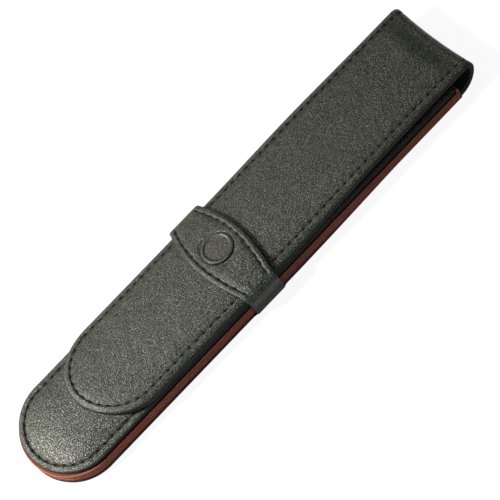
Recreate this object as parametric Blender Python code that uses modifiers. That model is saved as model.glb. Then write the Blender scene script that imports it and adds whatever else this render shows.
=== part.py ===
"""A leather pouch for one pen, lying on its back, with a fold-over flap and a keeper strap.

One strip of leather makes the back, the fold over the mouth and the flap. It bends twice: in a wide bend
that rises from the back, and in a tight crease at the flap's top edge. The pouch's length runs along Y,
with its mouth towards +Y, its width along X, and its back rests at z = 0.
"""

import math

import bmesh
import bpy

MM = 0.001

# Overall sizes
POUCH_LENGTH = 162 * MM
POUCH_WIDTH = 34 * MM
FLAP_WIDTH = 33 * MM
FLAP_REACH = 142 * MM  # from the fold's front to the tip of the tongue
MOUTH_SETBACK = 8 * MM  # from the fold's front to the pocket's mouth
FOLD_WIDTH = 31.6 * MM
TAPER_LENGTH = 70 * MM  # the back and the flap narrow to the fold's width over this length

# Thickness of each layer, and the clearance between two layers
CLEARANCE = 0.15 * MM
BACK_LEATHER = 0.7 * MM
BACK_EDGE = 1.3 * MM  # the back's edge, where its leather is turned over
BACK_BOARD = 0.4 * MM
FRONT_LEATHER = 0.8 * MM
FRONT_EDGE = 1.5 * MM
FRONT_BOARD = 0.4 * MM
LINING = 0.6 * MM
LINING_EDGE = 1.4 * MM
FLAP_LEATHER = 0.7 * MM
FLAP_BOARD = 0.3 * MM
FLAP_LINING = 0.4 * MM
FOLD_LINING = 0.5 * MM
STRAP_LEATHER = 0.7 * MM
STRAP_LINING = 0.4 * MM

# Turned edges
BACK_TURN = 3.6 * MM
FRONT_TURN = 3.2 * MM
FLAP_TURN = 1.2 * MM
TURN_STEP = 0.3 * MM  # the slope from a turned edge down to the single leather
EDGE_RADIUS = 0.5 * MM
EDGE_THICKNESS_SHARE = 0.4  # the most of a thickness that its rounding takes
LINING_INSET = 0.2 * MM
FLAP_LINING_INSET = 0.5 * MM
MOUTH_LIP = 0.8 * MM  # the front lining's turned lip, over the end of the front leather
LIP_STEP = 0.02 * MM

# The front panel's swell, and the flap that lies on it
FULL_CROWN = 2.5 * MM
CLOSED_END_CROWN = 2.3 * MM
FOLD_CROWN = 1.3 * MM
CROWN_RISE = 34 * MM  # the swell grows over this length, from the middle of the rounded end
CROWN_FALL = 7 * MM  # and falls over this length, up to the crease
SWELL_POWER = 2.4
SWELL_SHARES = (0.1, 0.24, 0.42, 0.66)
EDGE_REST = 0.1 * MM  # how far the flap's edges lie over the front's border, besides the clearance
LIFT_LENGTH = 40 * MM  # past the strap, the flap's edges rise over this length to the crease's height
FLAP_SHARES = (0.22, 0.46, 0.72)

# The fold
BEND_TURN = math.radians(75)
CREASE_TURN = math.pi - BEND_TURN
CREASE_RADIUS = 2.6 * MM
BEND_OPENS = math.radians(65)  # how far each turn opens out as the flap is laid back
CREASE_OPENS = math.radians(105)

# The keeper strap
STRAP_SETBACK = 85 * MM  # from the fold's front to the strap's middle line
STRAP_WIDTH = 16.5 * MM
STRAP_END_WIDTH = 9.8 * MM
STRAP_SHOULDER = 1.6 * MM
TUCK_RADIUS = 1.0 * MM
TAIL_INSET = 3.5 * MM  # where a tail ends, from the pouch's edge
STRAP_LINING_HEIGHT = 3.6 * MM  # where the strap's lining ends, over the table
STRAP_ACROSS_SHARES = (-1.0, -0.5, 0.0, 0.5, 1.0)

# The disc on the strap
DISC_RADIUS = 4.8 * MM
DISC_THICKNESS = 0.6 * MM
DISC_BEAD = 0.6 * MM
DISC_FIELD_DEPTH = 0.15 * MM
DISC_RECESS = 0.3 * MM

# How finely the shapes are divided
ARC_STEPS = 16
BEND_STEPS = 8
CREASE_STEPS = 4
SHOULDER_STEPS = 4
SHOULDER_TRIES = 12
TUCK_STEPS = 4
DISC_STEPS = 36
LONG_STEP = 22 * MM
CROWN_STEP = 9 * MM
FINE_STEP = 2 * MM
STRAP_STEP = 2.5 * MM
TAPER_STEPS = 5
WELD = 0.001 * MM
OVERRUN = 5 * MM
SHARP_ANGLE = math.radians(40)

# Places worked out from the sizes above
FOLD_FRONT = POUCH_LENGTH / 2
HALF_WIDTH = POUCH_WIDTH / 2
FLAP_HALF = FLAP_WIDTH / 2
MOUTH = FOLD_FRONT - MOUTH_SETBACK
STRAP_Y = FOLD_FRONT - STRAP_SETBACK
END_CENTRE = HALF_WIDTH - FOLD_FRONT
TONGUE_CENTRE = FOLD_FRONT - FLAP_REACH + FLAP_HALF

BACK_LINING_LOW = BACK_EDGE + CLEARANCE
BACK_LINING_TOP = BACK_LINING_LOW + LINING
FRONT_LINING_LOW = BACK_LINING_LOW + LINING_EDGE + CLEARANCE
FRONT_EDGE_LOW = FRONT_LINING_LOW + LINING_EDGE + CLEARANCE
FRONT_EDGE_TOP = FRONT_EDGE_LOW + FRONT_EDGE
FRONT_BOARD_DEPTH = FRONT_LEATHER + CLEARANCE
FRONT_LINING_DEPTH = FRONT_BOARD_DEPTH + FRONT_BOARD + CLEARANCE

FLAP_BOARD_DEPTH = FLAP_LEATHER + CLEARANCE
FLAP_LINING_DEPTH = FLAP_BOARD_DEPTH + FLAP_BOARD + CLEARANCE
FLAP_THICKNESS = FLAP_LINING_DEPTH + FLAP_LINING
FOLD_TOP = FRONT_EDGE_TOP + FOLD_CROWN + CLEARANCE + FLAP_THICKNESS

# The strip's path seen from the side. BEND_ and CREASE_ give its two arcs.
BEND_RADIUS = (FOLD_TOP - CREASE_RADIUS * (1 + math.cos(BEND_TURN))) / (1 - math.cos(BEND_TURN))
CREASE_Y = FOLD_FRONT - CREASE_RADIUS
CREASE_Z = FOLD_TOP - CREASE_RADIUS
BEND_Y = CREASE_Y - (BEND_RADIUS - CREASE_RADIUS) * math.sin(BEND_TURN)
BEND_END = BEND_Y + BEND_RADIUS * BEND_TURN
CREASE_END = BEND_END + CREASE_RADIUS * CREASE_TURN
BACK_SPLIT = BEND_Y + BEND_RADIUS * BEND_TURN / 2
FLAP_SPLIT = BEND_END + CREASE_RADIUS * CREASE_TURN / 2


def smooth(share):
    """An S-shaped rise from 0 to 1."""
    share = min(max(share, 0.0), 1.0)
    return share * share * (3 - 2 * share)


def ramp(value, start, length):
    """A straight rise from 0 at start to 1 past the length."""
    return min(max((value - start) / length, 0.0), 1.0)


def cut_at(places, end):
    """The places short of an end, and the end itself."""
    return [place for place in places if place < end - WELD] + [end]


def spaced(low, high, step):
    """Places from low to high, both included, no further apart than the step."""
    count = max(1, math.ceil((high - low) / step))
    return [low + (high - low) * i / count for i in range(count + 1)]


def ordered(*runs):
    """The places of several runs in order, with those that coincide left out."""
    places = []
    for place in sorted(place for run in runs for place in run):
        if not places or place - places[-1] > WELD:
            places.append(place)
    return places


def strip_point(along, depth):
    """The y and z of the leather strip, at a distance along its outer face and a depth under that face."""
    if along <= BEND_Y:
        return along, depth
    if along <= BEND_END:
        angle = (along - BEND_Y) / BEND_RADIUS
        radius = BEND_RADIUS - depth
        return BEND_Y + radius * math.sin(angle), BEND_RADIUS - radius * math.cos(angle)
    if along <= CREASE_END:
        angle = BEND_TURN + (along - BEND_END) / CREASE_RADIUS
        radius = CREASE_RADIUS - depth
        return CREASE_Y + radius * math.sin(angle), CREASE_Z - radius * math.cos(angle)
    return CREASE_Y - (along - CREASE_END), FOLD_TOP - depth


def crown_at(y):
    """How far the front panel swells over its flat border, on its middle line."""
    rise = smooth(ramp(y, END_CENTRE, CROWN_RISE))
    fall = smooth(ramp(y, CREASE_Y - CROWN_FALL, CROWN_FALL))
    return CLOSED_END_CROWN + (FULL_CROWN - CLOSED_END_CROWN) * rise - (FULL_CROWN - FOLD_CROWN) * fall


def front_height(y, inset):
    """The front panel's outer face, at a distance inside its edge."""
    share = ramp(inset, FRONT_TURN, HALF_WIDTH - FRONT_TURN)
    return FRONT_EDGE_TOP + crown_at(y) * (1 - (1 - share) ** SWELL_POWER)


def edge_lift(y):
    """How far the flap's edges stand over the front's border, besides the clearance."""
    share = smooth(ramp(y, STRAP_Y + STRAP_WIDTH / 2, LIFT_LENGTH))
    return EDGE_REST + (FOLD_CROWN - EDGE_REST) * share


def flap_curve(y):
    """The flap's fall beside its middle line, over the square of the distance from it."""
    return (crown_at(y) - edge_lift(y)) / flap_half(y) ** 2


def flap_point(x, along, depth):
    """A point of the flap. Along is y on the flap's flat part and runs on round the crease past it."""
    y, z = strip_point(CREASE_END + CREASE_Y - along, depth)
    if along < CREASE_Y:
        z += crown_at(y) - FOLD_CROWN - flap_curve(y) * x * x
    return x, y, z


def rounded(low, high, inset):
    """The two faces of a layer, drawn in towards each other near a rounded edge."""
    radius = min(EDGE_RADIUS, (high - low) * EDGE_THICKNESS_SHARE)
    share = 1 - ramp(inset, 0.0, EDGE_RADIUS)
    fall = radius * (1 - math.sqrt(1 - share * share))
    return low + fall, high - fall


def edge_insets():
    """Where a rounded edge needs its rows."""
    return [0.0, EDGE_RADIUS * (1 - math.sqrt(0.5)), EDGE_RADIUS]


def narrowed(half, along, end):
    """Half the strip's width, which narrows to the fold's up to an end."""
    return half - (half - FOLD_WIDTH / 2) * smooth(ramp(along, end - TAPER_LENGTH, TAPER_LENGTH))


def back_half(along):
    """Half the back's width."""
    return narrowed(HALF_WIDTH, along, MOUTH)


def flap_half(along):
    """Half the flap's width."""
    return narrowed(FLAP_HALF, along, CREASE_Y)


def pocket_half(along):
    """Half the width of the front and of the pocket's linings."""
    return HALF_WIDTH


def sheet(columns, rows, flat, solid):
    """A closed sheet: a grid laid out flat, welded where it meets itself, then given its two faces.

    flat gives a grid point's place on the flat sheet, and solid the place of that point on face 0 or 1.
    """
    shape = bmesh.new()
    bmesh.ops.create_grid(shape, x_segments=len(columns) - 1, y_segments=len(rows) - 1, size=1)
    for vert in shape.verts:
        column = round((vert.co.x + 1) / 2 * (len(columns) - 1))
        row = round((vert.co.y + 1) / 2 * (len(rows) - 1))
        vert.co = (*flat(columns[column], rows[row]), 0.0)
    bmesh.ops.remove_doubles(shape, verts=shape.verts[:], dist=WELD)
    raised = bmesh.ops.extrude_face_region(shape, geom=shape.faces[:])["geom"]
    raised = {part for part in raised if isinstance(part, bmesh.types.BMVert)}
    for vert in shape.verts:
        vert.co = solid(vert.co.x, vert.co.y, 1 if vert in raised else 0)
    bmesh.ops.recalc_face_normals(shape, faces=shape.faces[:])
    if shape.calc_volume(signed=True) < 0:
        bmesh.ops.reverse_faces(shape, faces=shape.faces[:])
    return shape


def tongue_sheet(insets, sides, half_at, faces):
    """A closed sheet with a round end at its low end, made of rows that run in from its edge to its middle.

    insets are distances in from the edge, sides are places along it from the middle of its round end, and
    faces gives the point of face 0 or 1 for a place across, a place along and a distance in from the edge.
    """
    centre = sides[0]
    half = half_at(centre)
    turn = [math.pi * (1 + step / ARC_STEPS) for step in range(1, ARC_STEPS)]
    rows = [(-1.0, 0.0, place) for place in reversed(sides)]
    rows += [(math.cos(angle), math.sin(angle), centre) for angle in turn]
    rows += [(1.0, 0.0, place) for place in sides]

    def flat(inset, row):
        across, along, start = row
        reach = 0.0 if inset is None else half_at(start) - inset
        return across * reach, start + along * reach

    def solid(x, along, face):
        if along >= centre:
            inset = half_at(along) - abs(x)
        else:
            inset = half - math.hypot(x, along - centre)
        return faces(x, along, inset)[face]

    return sheet([*insets, None], rows, flat, solid)


def back_leather():
    """The strip's back: a shallow tray whose turned edge is notched for the strap's tails."""
    tail_low = BACK_LINING_LOW - CLEARANCE - STRAP_LEATHER
    notch_floor = tail_low - CLEARANCE
    notch_half = STRAP_END_WIDTH / 2 + CLEARANCE

    def faces(x, along, inset):
        edge = 1 - ramp(inset, BACK_TURN, TURN_STEP)
        notch = 1 - ramp(abs(along - STRAP_Y), notch_half, TURN_STEP)
        edge_top = BACK_EDGE + (notch_floor - BACK_EDGE) * notch
        low, high = rounded(0.0, BACK_LEATHER + (edge_top - BACK_LEATHER) * edge, inset)
        return [(x, *strip_point(along, low)), (x, *strip_point(along, high))]

    notch = [STRAP_Y + side * reach for side in (-1, 1) for reach in (notch_half, notch_half + TURN_STEP)]
    sides = ordered(
        spaced(END_CENTRE, BEND_Y, LONG_STEP),
        notch,
        spaced(MOUTH - TAPER_LENGTH, BEND_Y, TAPER_LENGTH / TAPER_STEPS),
        spaced(BEND_Y, BACK_SPLIT - CLEARANCE / 2, FINE_STEP),
    )
    return tongue_sheet([*edge_insets(), BACK_TURN, BACK_TURN + TURN_STEP], sides, back_half, faces)


def back_stiffener():
    """A thin board that lies in the back's tray."""
    start = BACK_TURN + TURN_STEP + CLEARANCE
    low = BACK_LEATHER + CLEARANCE

    def faces(x, along, inset):
        return [(x, *strip_point(along, low)), (x, *strip_point(along, low + BACK_BOARD))]

    return tongue_sheet([start], spaced(END_CENTRE, BEND_Y, LONG_STEP), back_half, faces)


def back_lining():
    """The pocket's floor up to the mouth, thicker along its border, which thins where the back rises."""

    def faces(x, along, inset):
        edge = (LINING_EDGE - LINING) * (1 - ramp(inset, FRONT_TURN, TURN_STEP))
        rise = strip_point(along, 0.0)[1]
        high = BACK_LINING_TOP + max(edge - rise, 0.0)
        return [(x, *strip_point(along, BACK_LINING_LOW)), (x, *strip_point(along, high))]

    sides = ordered(spaced(END_CENTRE, MOUTH, LONG_STEP), [min(BEND_Y, MOUTH)])
    return tongue_sheet([LINING_INSET, FRONT_TURN, FRONT_TURN + TURN_STEP], sides, pocket_half, faces)


def swell_insets(start):
    """Rows across the swell, between the turned edge and the middle line."""
    width = HALF_WIDTH - FRONT_TURN
    return [start] + [FRONT_TURN + share * width for share in SWELL_SHARES]


def front_sides(end):
    """Places along the front panel's side up to an end, closer where its swell falls."""
    fall = CREASE_Y - CROWN_FALL
    return cut_at(ordered(spaced(END_CENTRE, fall, CROWN_STEP), spaced(fall, CREASE_Y, FINE_STEP)), end)


def front_lining():
    """The pocket's roof. It follows the swell and turns up over the front leather's end at the mouth."""
    lip = MOUTH - MOUTH_LIP

    def faces(x, along, inset):
        inner = ramp(inset, FRONT_TURN, TURN_STEP)
        swell_top = front_height(along, inset) - FRONT_LINING_DEPTH
        low = FRONT_LINING_LOW + (swell_top - LINING - FRONT_LINING_LOW) * inner
        high = FRONT_LINING_LOW + LINING_EDGE + (swell_top - FRONT_LINING_LOW - LINING_EDGE) * inner
        high += (front_height(along, inset) - high) * ramp(along, lip, LIP_STEP)
        return [(x, along, low), (x, along, high)]

    sides = front_sides(lip) + [lip + LIP_STEP, MOUTH]
    insets = [LINING_INSET, FRONT_TURN, *swell_insets(FRONT_TURN + TURN_STEP)]
    return tongue_sheet(insets, sides, pocket_half, faces)


def front_stiffener():
    """A thin formed board that keeps the front panel's swell."""

    def faces(x, along, inset):
        high = front_height(along, inset) - FRONT_BOARD_DEPTH
        return [(x, along, high - FRONT_BOARD), (x, along, high)]

    insets = swell_insets(FRONT_TURN + TURN_STEP + CLEARANCE)
    return tongue_sheet(insets, front_sides(MOUTH - MOUTH_LIP - CLEARANCE), pocket_half, faces)


def front_leather():
    """The front panel: a flat turned border round a long swell."""

    def faces(x, along, inset):
        high = front_height(along, inset)
        inner = ramp(inset, FRONT_TURN, TURN_STEP)
        low = FRONT_EDGE_LOW + (high - FRONT_LEATHER - FRONT_EDGE_LOW) * inner
        low, high = rounded(low, high, inset)
        return [(x, along, low), (x, along, high)]

    insets = [*edge_insets(), FRONT_TURN, *swell_insets(FRONT_TURN + TURN_STEP)]
    return tongue_sheet(insets, front_sides(MOUTH - MOUTH_LIP - CLEARANCE), pocket_half, faces)


def flap_sides(end):
    """Places along the flap's side up to an end, closer over the fold and round the crease."""
    fall = CREASE_Y - CROWN_FALL
    crease = [CREASE_Y + (CREASE_END - FLAP_SPLIT) * step / CREASE_STEPS for step in range(CREASE_STEPS)]
    sides = ordered(spaced(TONGUE_CENTRE, fall, CROWN_STEP), spaced(fall, CREASE_Y, FINE_STEP), crease)
    return cut_at(sides, end)


def flap_insets(start):
    """Rows across the flap, from a turned edge to its middle line."""
    return [start] + [start + share * (FLAP_HALF - start) for share in FLAP_SHARES]


def flap_leather():
    """The strip's flap, from the middle of the crease to the tip of the tongue."""

    def faces(x, along, inset):
        edge = 1 - ramp(inset, FLAP_TURN, TURN_STEP)
        outer, inner = rounded(0.0, FLAP_LEATHER + (CLEARANCE + FLAP_BOARD) * edge, inset)
        return [flap_point(x, along, outer), flap_point(x, along, inner)]

    end = CREASE_Y + CREASE_END - FLAP_SPLIT - CLEARANCE / 2
    insets = [*edge_insets(), FLAP_TURN, *flap_insets(FLAP_TURN + TURN_STEP)]
    return tongue_sheet(insets, flap_sides(end), flap_half, faces)


def flap_stiffener():
    """A thin board inside the flap, which ends short of the crease."""

    def faces(x, along, inset):
        depths = (FLAP_BOARD_DEPTH, FLAP_BOARD_DEPTH + FLAP_BOARD)
        return [flap_point(x, along, depth) for depth in depths]

    insets = flap_insets(FLAP_TURN + TURN_STEP + CLEARANCE)
    return tongue_sheet(insets, flap_sides(CREASE_Y - CREASE_RADIUS), flap_half, faces)


def flap_lining():
    """The lining under the flap, up to the crease."""

    def faces(x, along, inset):
        return [flap_point(x, along, depth) for depth in (FLAP_LINING_DEPTH, FLAP_THICKNESS)]

    return tongue_sheet(flap_insets(FLAP_LINING_INSET), flap_sides(CREASE_Y), flap_half, faces)


def fold_sheet(outer, inner, start, end, insets):
    """A layer of the fold between two places along the strip, which bends up and over the mouth."""
    bend = [BEND_Y + (BEND_END - BEND_Y) * step / BEND_STEPS for step in range(BEND_STEPS + 1)]
    turn = [BEND_END + (FLAP_SPLIT - BEND_END) * step / CREASE_STEPS for step in range(CREASE_STEPS + 1)]
    rows = [place for place in ordered(bend, turn) if start + WELD < place < end - WELD]
    columns = [(-1, inset) for inset in insets] + [(1, inset) for inset in reversed(insets)]

    def flat(column, along):
        side, inset = column
        return side * (FOLD_WIDTH / 2 - inset), along

    def solid(x, along, face):
        depths = rounded(outer, inner, FOLD_WIDTH / 2 - abs(x))
        return (x, *strip_point(along, depths[face]))

    return sheet(columns, [start, *rows, end], flat, solid)


def fold_leather():
    """The strip's fold, from the middle of the wide bend to the middle of the crease."""
    start = BACK_SPLIT + CLEARANCE / 2
    return fold_sheet(0.0, FLAP_LEATHER, start, FLAP_SPLIT - CLEARANCE / 2, edge_insets())


def mouth_lining():
    """The lower end of the fold's lining, from the pocket's mouth to the middle of the wide bend."""
    top = BACK_LINING_LOW + FOLD_LINING
    end = BACK_SPLIT - CLEARANCE / 2
    return fold_sheet(BACK_LINING_LOW, top, MOUTH + CLEARANCE, end, [FLAP_LINING_INSET])


def fold_lining():
    """The lining inside the fold, which stops where the crease begins."""
    outer = FLAP_LEATHER + CLEARANCE
    return fold_sheet(outer, outer + FOLD_LINING, BACK_SPLIT + CLEARANCE / 2, BEND_END, [FLAP_LINING_INSET])


def shoulder_lean(side, curve):
    """The slope at which the strap's curved crown runs into its round shoulder."""
    lean = 0.0
    for _ in range(SHOULDER_TRIES):
        lean = math.atan(2 * curve * (side - STRAP_SHOULDER * (1 - math.sin(lean))))
    return lean


def strap_path(bottom):
    """Half the strap's inner face, from its middle down to a height, as places across, heights and tilts.

    Its crown is as curved as the flap's, and a round shoulder joins it to the straight side.
    """
    side = HALF_WIDTH + CLEARANCE
    curve = flap_curve(STRAP_Y)
    lean = shoulder_lean(side, curve)
    shoulder_x = side - STRAP_SHOULDER * (1 - math.sin(lean))
    top = FRONT_EDGE_TOP + crown_at(STRAP_Y) + FLAP_THICKNESS + CLEARANCE * 2
    shoulder_z = top - curve * shoulder_x**2 - STRAP_SHOULDER * math.cos(lean)
    half = [(x, top - curve * x * x, math.atan(2 * curve * x)) for x in spaced(0.0, shoulder_x, STRAP_STEP)]
    for step in range(1, SHOULDER_STEPS + 1):
        tilt = lean + (math.pi / 2 - lean) * step / SHOULDER_STEPS
        x = side - STRAP_SHOULDER * (1 - math.sin(tilt))
        half.append((x, shoulder_z + STRAP_SHOULDER * math.cos(tilt), tilt))
    half.append((side, bottom, math.pi / 2))
    return half


def tucked_path(offset):
    """The strap's half path with its tuck and tail under the lining, for a layer at an offset from it."""
    tail_top = BACK_LINING_LOW - CLEARANCE
    centre_x = HALF_WIDTH + CLEARANCE + offset - TUCK_RADIUS
    centre_z = tail_top + TUCK_RADIUS
    half = strap_path(centre_z)
    radius = TUCK_RADIUS - offset
    for step in range(1, TUCK_STEPS + 1):
        tilt = math.pi / 2 * (1 + step / TUCK_STEPS)
        half.append((centre_x + radius * math.sin(tilt), centre_z + radius * math.cos(tilt), tilt))
    half.append((HALF_WIDTH - TAIL_INSET, tail_top + offset, math.pi))
    return half


def strap_sheet(half, inner, outer):
    """A layer of the strap, barrel-shaped across and bent along the given half path and its mirror."""
    lengths = [0.0]
    for (x0, z0, _), (x1, z1, _) in zip(half, half[1:]):
        lengths.append(lengths[-1] + math.hypot(x1 - x0, z1 - z0))
    visible = HALF_WIDTH + CLEARANCE + FRONT_EDGE_TOP
    order = [-index for index in range(len(half) - 1, 0, -1)] + list(range(len(half)))

    def flat(across, index):
        return across, float(index)

    def solid(across, place, face):
        index = round(abs(place))
        side = -1 if place < 0 else 1
        x, z, tilt = half[index]
        offset = (inner, outer)[face]
        share = min(lengths[index] / visible, 1.0)
        width = STRAP_END_WIDTH + (STRAP_WIDTH - STRAP_END_WIDTH) * (1 - share * share)
        y = STRAP_Y + across * width / 2
        return side * (x + offset * math.sin(tilt)), y, z + offset * math.cos(tilt)

    return sheet(STRAP_ACROSS_SHARES, order, flat, solid)


def strap_lining():
    """The strap's lining, from side to side over the flap."""
    return strap_sheet(strap_path(STRAP_LINING_HEIGHT), 0.0, STRAP_LINING)


def strap_leather():
    """The strap, whose tails tuck in between the back leather and the lining."""
    inner = STRAP_LINING + CLEARANCE
    return strap_sheet(tucked_path(inner), inner, inner + STRAP_LEATHER)


def strap_top():
    """The height of the strap's outer face in its middle."""
    return strap_path(STRAP_LINING_HEIGHT)[0][1] + STRAP_LINING + CLEARANCE + STRAP_LEATHER


def recess_floor():
    """The height of the flat recess that the disc sits in, under the lowest edge of the strap round it."""
    return strap_top() - flap_curve(STRAP_Y) * DISC_RADIUS**2 - DISC_RECESS


def leather_material(name, colour, roughness):
    """A plain finish of one colour."""
    material = bpy.data.materials.new(name)
    material.use_nodes = True
    shader = material.node_tree.nodes["Principled BSDF"]
    shader.inputs["Base Color"].default_value = (*colour, 1.0)
    shader.inputs["Roughness"].default_value = roughness
    shader.inputs["Metallic"].default_value = 0.0
    return material


def piece(name, shape, material, parent, collection):
    """An object made of a shape drawn in place, with its origin at its parent's."""
    origin = parent.matrix_world.translation
    for vert in shape.verts:
        vert.co -= origin
    mesh = bpy.data.meshes.new(name)
    shape.to_mesh(mesh)
    shape.free()
    mesh.materials.append(material)
    mesh.shade_smooth()
    mesh.set_sharp_from_angle(angle=SHARP_ANGLE)
    made = bpy.data.objects.new(name, mesh)
    made.parent = parent
    collection.objects.link(made)
    return made


def joint_axis(name, along, opens, parent, collection):
    """An empty on the strip's outer face. The pieces past it turn about it, up to the angle it opens by."""
    empty = bpy.data.objects.new(name, None)
    collection.objects.link(empty)
    empty.parent = parent
    empty.empty_display_size = CREASE_RADIUS
    place = (0.0, *strip_point(along, 0.0))
    empty.location = [value - zero for value, zero in zip(place, parent.matrix_world.translation)]
    limit = empty.constraints.new("LIMIT_ROTATION")
    limit.use_limit_x = True
    limit.min_x = -opens
    limit.owner_space = "LOCAL"
    bpy.context.view_layer.update()
    return empty


def turned(name, profile, collection):
    """An object turned about Z from a profile of radii and heights, from its top middle to its bottom one."""
    mesh = bpy.data.meshes.new(name)
    points = [(radius, 0.0, height) for radius, height in profile]
    mesh.from_pydata(points, [(i, i + 1) for i in range(len(points) - 1)], [])
    made = bpy.data.objects.new(name, mesh)
    collection.objects.link(made)
    screw = made.modifiers.new("turn", "SCREW")
    screw.steps = DISC_STEPS
    screw.render_steps = DISC_STEPS
    screw.use_merge_vertices = True
    screw.merge_threshold = WELD
    return made


def strap_disc(material, parent, collection):
    """A plain round disc with a low bead round it, let into the strap's middle."""
    top = 0.0
    field = top - DISC_FIELD_DEPTH
    bead = DISC_RADIUS - DISC_BEAD
    profile = [(0.0, field), (bead - DISC_BEAD / 2, field), (bead, top), (bead + DISC_BEAD / 2, top)]
    profile += [(DISC_RADIUS, field), (DISC_RADIUS, top - DISC_THICKNESS), (0.0, top - DISC_THICKNESS)]
    disc = turned("strap_disc", profile, collection)
    disc.data.materials.append(material)
    disc.parent = parent
    disc.location = (0.0, STRAP_Y, recess_floor() + CLEARANCE + DISC_THICKNESS)
    return disc


def disc_recess(strap, cutters):
    """The round recess in the strap that the disc sits in."""
    bpy.ops.mesh.primitive_cylinder_add(vertices=DISC_STEPS, radius=DISC_RADIUS + CLEARANCE, depth=OVERRUN)
    cutter = bpy.context.object
    cutter.name = "disc_recess_cutter"
    cutter.data.name = "disc_recess_cutter"
    for collection in cutter.users_collection:
        collection.objects.unlink(cutter)
    cutters.objects.link(cutter)
    cutter.location = (0.0, STRAP_Y, recess_floor() + OVERRUN / 2)
    cutter.hide_render = True
    cutter.display_type = "WIRE"
    cut = strap.modifiers.new("disc_recess", "BOOLEAN")
    cut.operation = "DIFFERENCE"
    cut.object = cutter


def main():
    for old in list(bpy.data.objects):
        bpy.data.objects.remove(old, do_unlink=True)
    parts = bpy.data.collections.new("pen_case")
    cutters = bpy.data.collections.new("cutters")
    bpy.context.scene.collection.children.link(parts)
    bpy.context.scene.collection.children.link(cutters)

    black = leather_material("black_leather", (0.018, 0.018, 0.017), 0.42)
    black_lining = leather_material("black_lining", (0.022, 0.02, 0.018), 0.6)
    red = leather_material("red_lining", (0.23, 0.018, 0.014), 0.55)
    board = leather_material("stiffener_board", (0.22, 0.17, 0.12), 0.8)

    pouch = bpy.data.objects.new("pouch_origin", None)
    parts.objects.link(pouch)
    fold = joint_axis("fold_bend_axis", BACK_SPLIT, BEND_OPENS, pouch, parts)
    flap = joint_axis("flap_crease_axis", FLAP_SPLIT, CREASE_OPENS, fold, parts)

    piece("back_leather", back_leather(), black, pouch, parts)
    piece("back_stiffener", back_stiffener(), board, pouch, parts)
    piece("back_lining", back_lining(), red, pouch, parts)
    piece("mouth_lining", mouth_lining(), black_lining, pouch, parts)
    piece("front_lining", front_lining(), red, pouch, parts)
    piece("front_stiffener", front_stiffener(), board, pouch, parts)
    piece("front_leather", front_leather(), black, pouch, parts)
    strap = piece("strap_leather", strap_leather(), black, pouch, parts)
    piece("strap_lining", strap_lining(), black_lining, pouch, parts)
    strap_disc(black, pouch, parts)
    disc_recess(strap, cutters)
    piece("fold_leather", fold_leather(), black, fold, parts)
    piece("fold_lining", fold_lining(), black_lining, fold, parts)
    piece("flap_leather", flap_leather(), black, flap, parts)
    piece("flap_stiffener", flap_stiffener(), board, flap, parts)
    piece("flap_lining", flap_lining(), black_lining, flap, parts)


main()
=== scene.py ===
"""Dresses a leather pen case: a lined pouch, its fold-over flap and the keeper strap across it.

Lengths are in metres. The pouch runs along Y with its mouth towards +Y, its width is along X and its back
lies at z = 0. The strip that makes the back, the fold and the flap is one leather. It is made in two pieces
that meet where the crease begins, because each piece can bend over only one hinge.
"""

import logging
import math
from contextlib import contextmanager
from dataclasses import dataclass
from enum import Enum
from functools import cached_property, partial
from typing import Callable, ClassVar, Iterator

import bpy
import numpy as np
from mathutils import Matrix, Vector


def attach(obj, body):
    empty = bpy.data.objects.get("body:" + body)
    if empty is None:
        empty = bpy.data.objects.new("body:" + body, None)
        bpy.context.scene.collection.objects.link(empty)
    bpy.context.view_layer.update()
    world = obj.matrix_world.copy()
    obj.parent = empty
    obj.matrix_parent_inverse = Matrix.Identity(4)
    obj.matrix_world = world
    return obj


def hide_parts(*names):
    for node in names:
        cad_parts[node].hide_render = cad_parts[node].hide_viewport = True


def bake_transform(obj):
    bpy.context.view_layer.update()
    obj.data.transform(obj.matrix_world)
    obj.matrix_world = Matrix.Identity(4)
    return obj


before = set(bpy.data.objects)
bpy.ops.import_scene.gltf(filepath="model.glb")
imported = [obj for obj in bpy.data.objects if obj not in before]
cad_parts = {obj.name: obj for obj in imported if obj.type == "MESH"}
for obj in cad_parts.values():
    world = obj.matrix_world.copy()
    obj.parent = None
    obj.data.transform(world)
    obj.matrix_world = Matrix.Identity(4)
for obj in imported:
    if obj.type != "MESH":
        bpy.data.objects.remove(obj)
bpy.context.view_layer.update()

LOG = logging.getLogger("pen_case")
MM = 0.001
# The painted shade on the panels' outermost edges: its strength, where it is full, and how far in it fades.
PAINTED_EDGE_SHADE, EDGE_FULL, EDGE_FADE = 0.75, 0.06 * MM, 0.4 * MM
WAVE_HEIGHTS = (0.05 * MM, 0.04 * MM)
NEAR_ZERO = 1e-12
WHITE = (1.0, 1.0, 1.0, 1.0)
Colour = tuple[float, float, float]
Places = np.ndarray
Piece = bpy.types.Object
Socket = bpy.types.NodeSocket
Makers = tuple[Callable[[], Piece], ...]
Faces = Callable[[Places, Places, int], Places]
Offsets = Callable[[Places, Places, Places, int], Places]
Masks = Callable[[Places, Places], dict[str, Places]]
Inputs = dict[str | int, object]


class Body(str, Enum):
    """The bodies that the pieces ride on."""

    POUCH = "pouch"
    FOLD = "fold"
    FLAP = "flap"


class Slot(str, Enum):
    """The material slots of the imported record."""

    LEATHER = "black_leather"
    DARK_LINING = "black_lining"
    RED_LINING = "red_lining"
    BOARD = "stiffener_board"


def mm(*lengths: float) -> list[float]:
    """Lengths that are given in millimetres."""
    return [length * MM for length in lengths]


def between(first: Places, second: Places, share: Places) -> Places:
    """A value on the way from the first to the second."""
    return first + (second - first) * share


def ramp(value: Places, start: float, length: float) -> Places:
    """A straight rise from 0 at start to 1 past the length."""
    return np.clip((value - start) / length, 0.0, 1.0)


def ease(value: Places, start: float, length: float) -> Places:
    """An S-shaped rise from 0 at start to 1 past the length."""
    share = ramp(value, start, length)
    return share * share * (3 - 2 * share)


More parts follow.
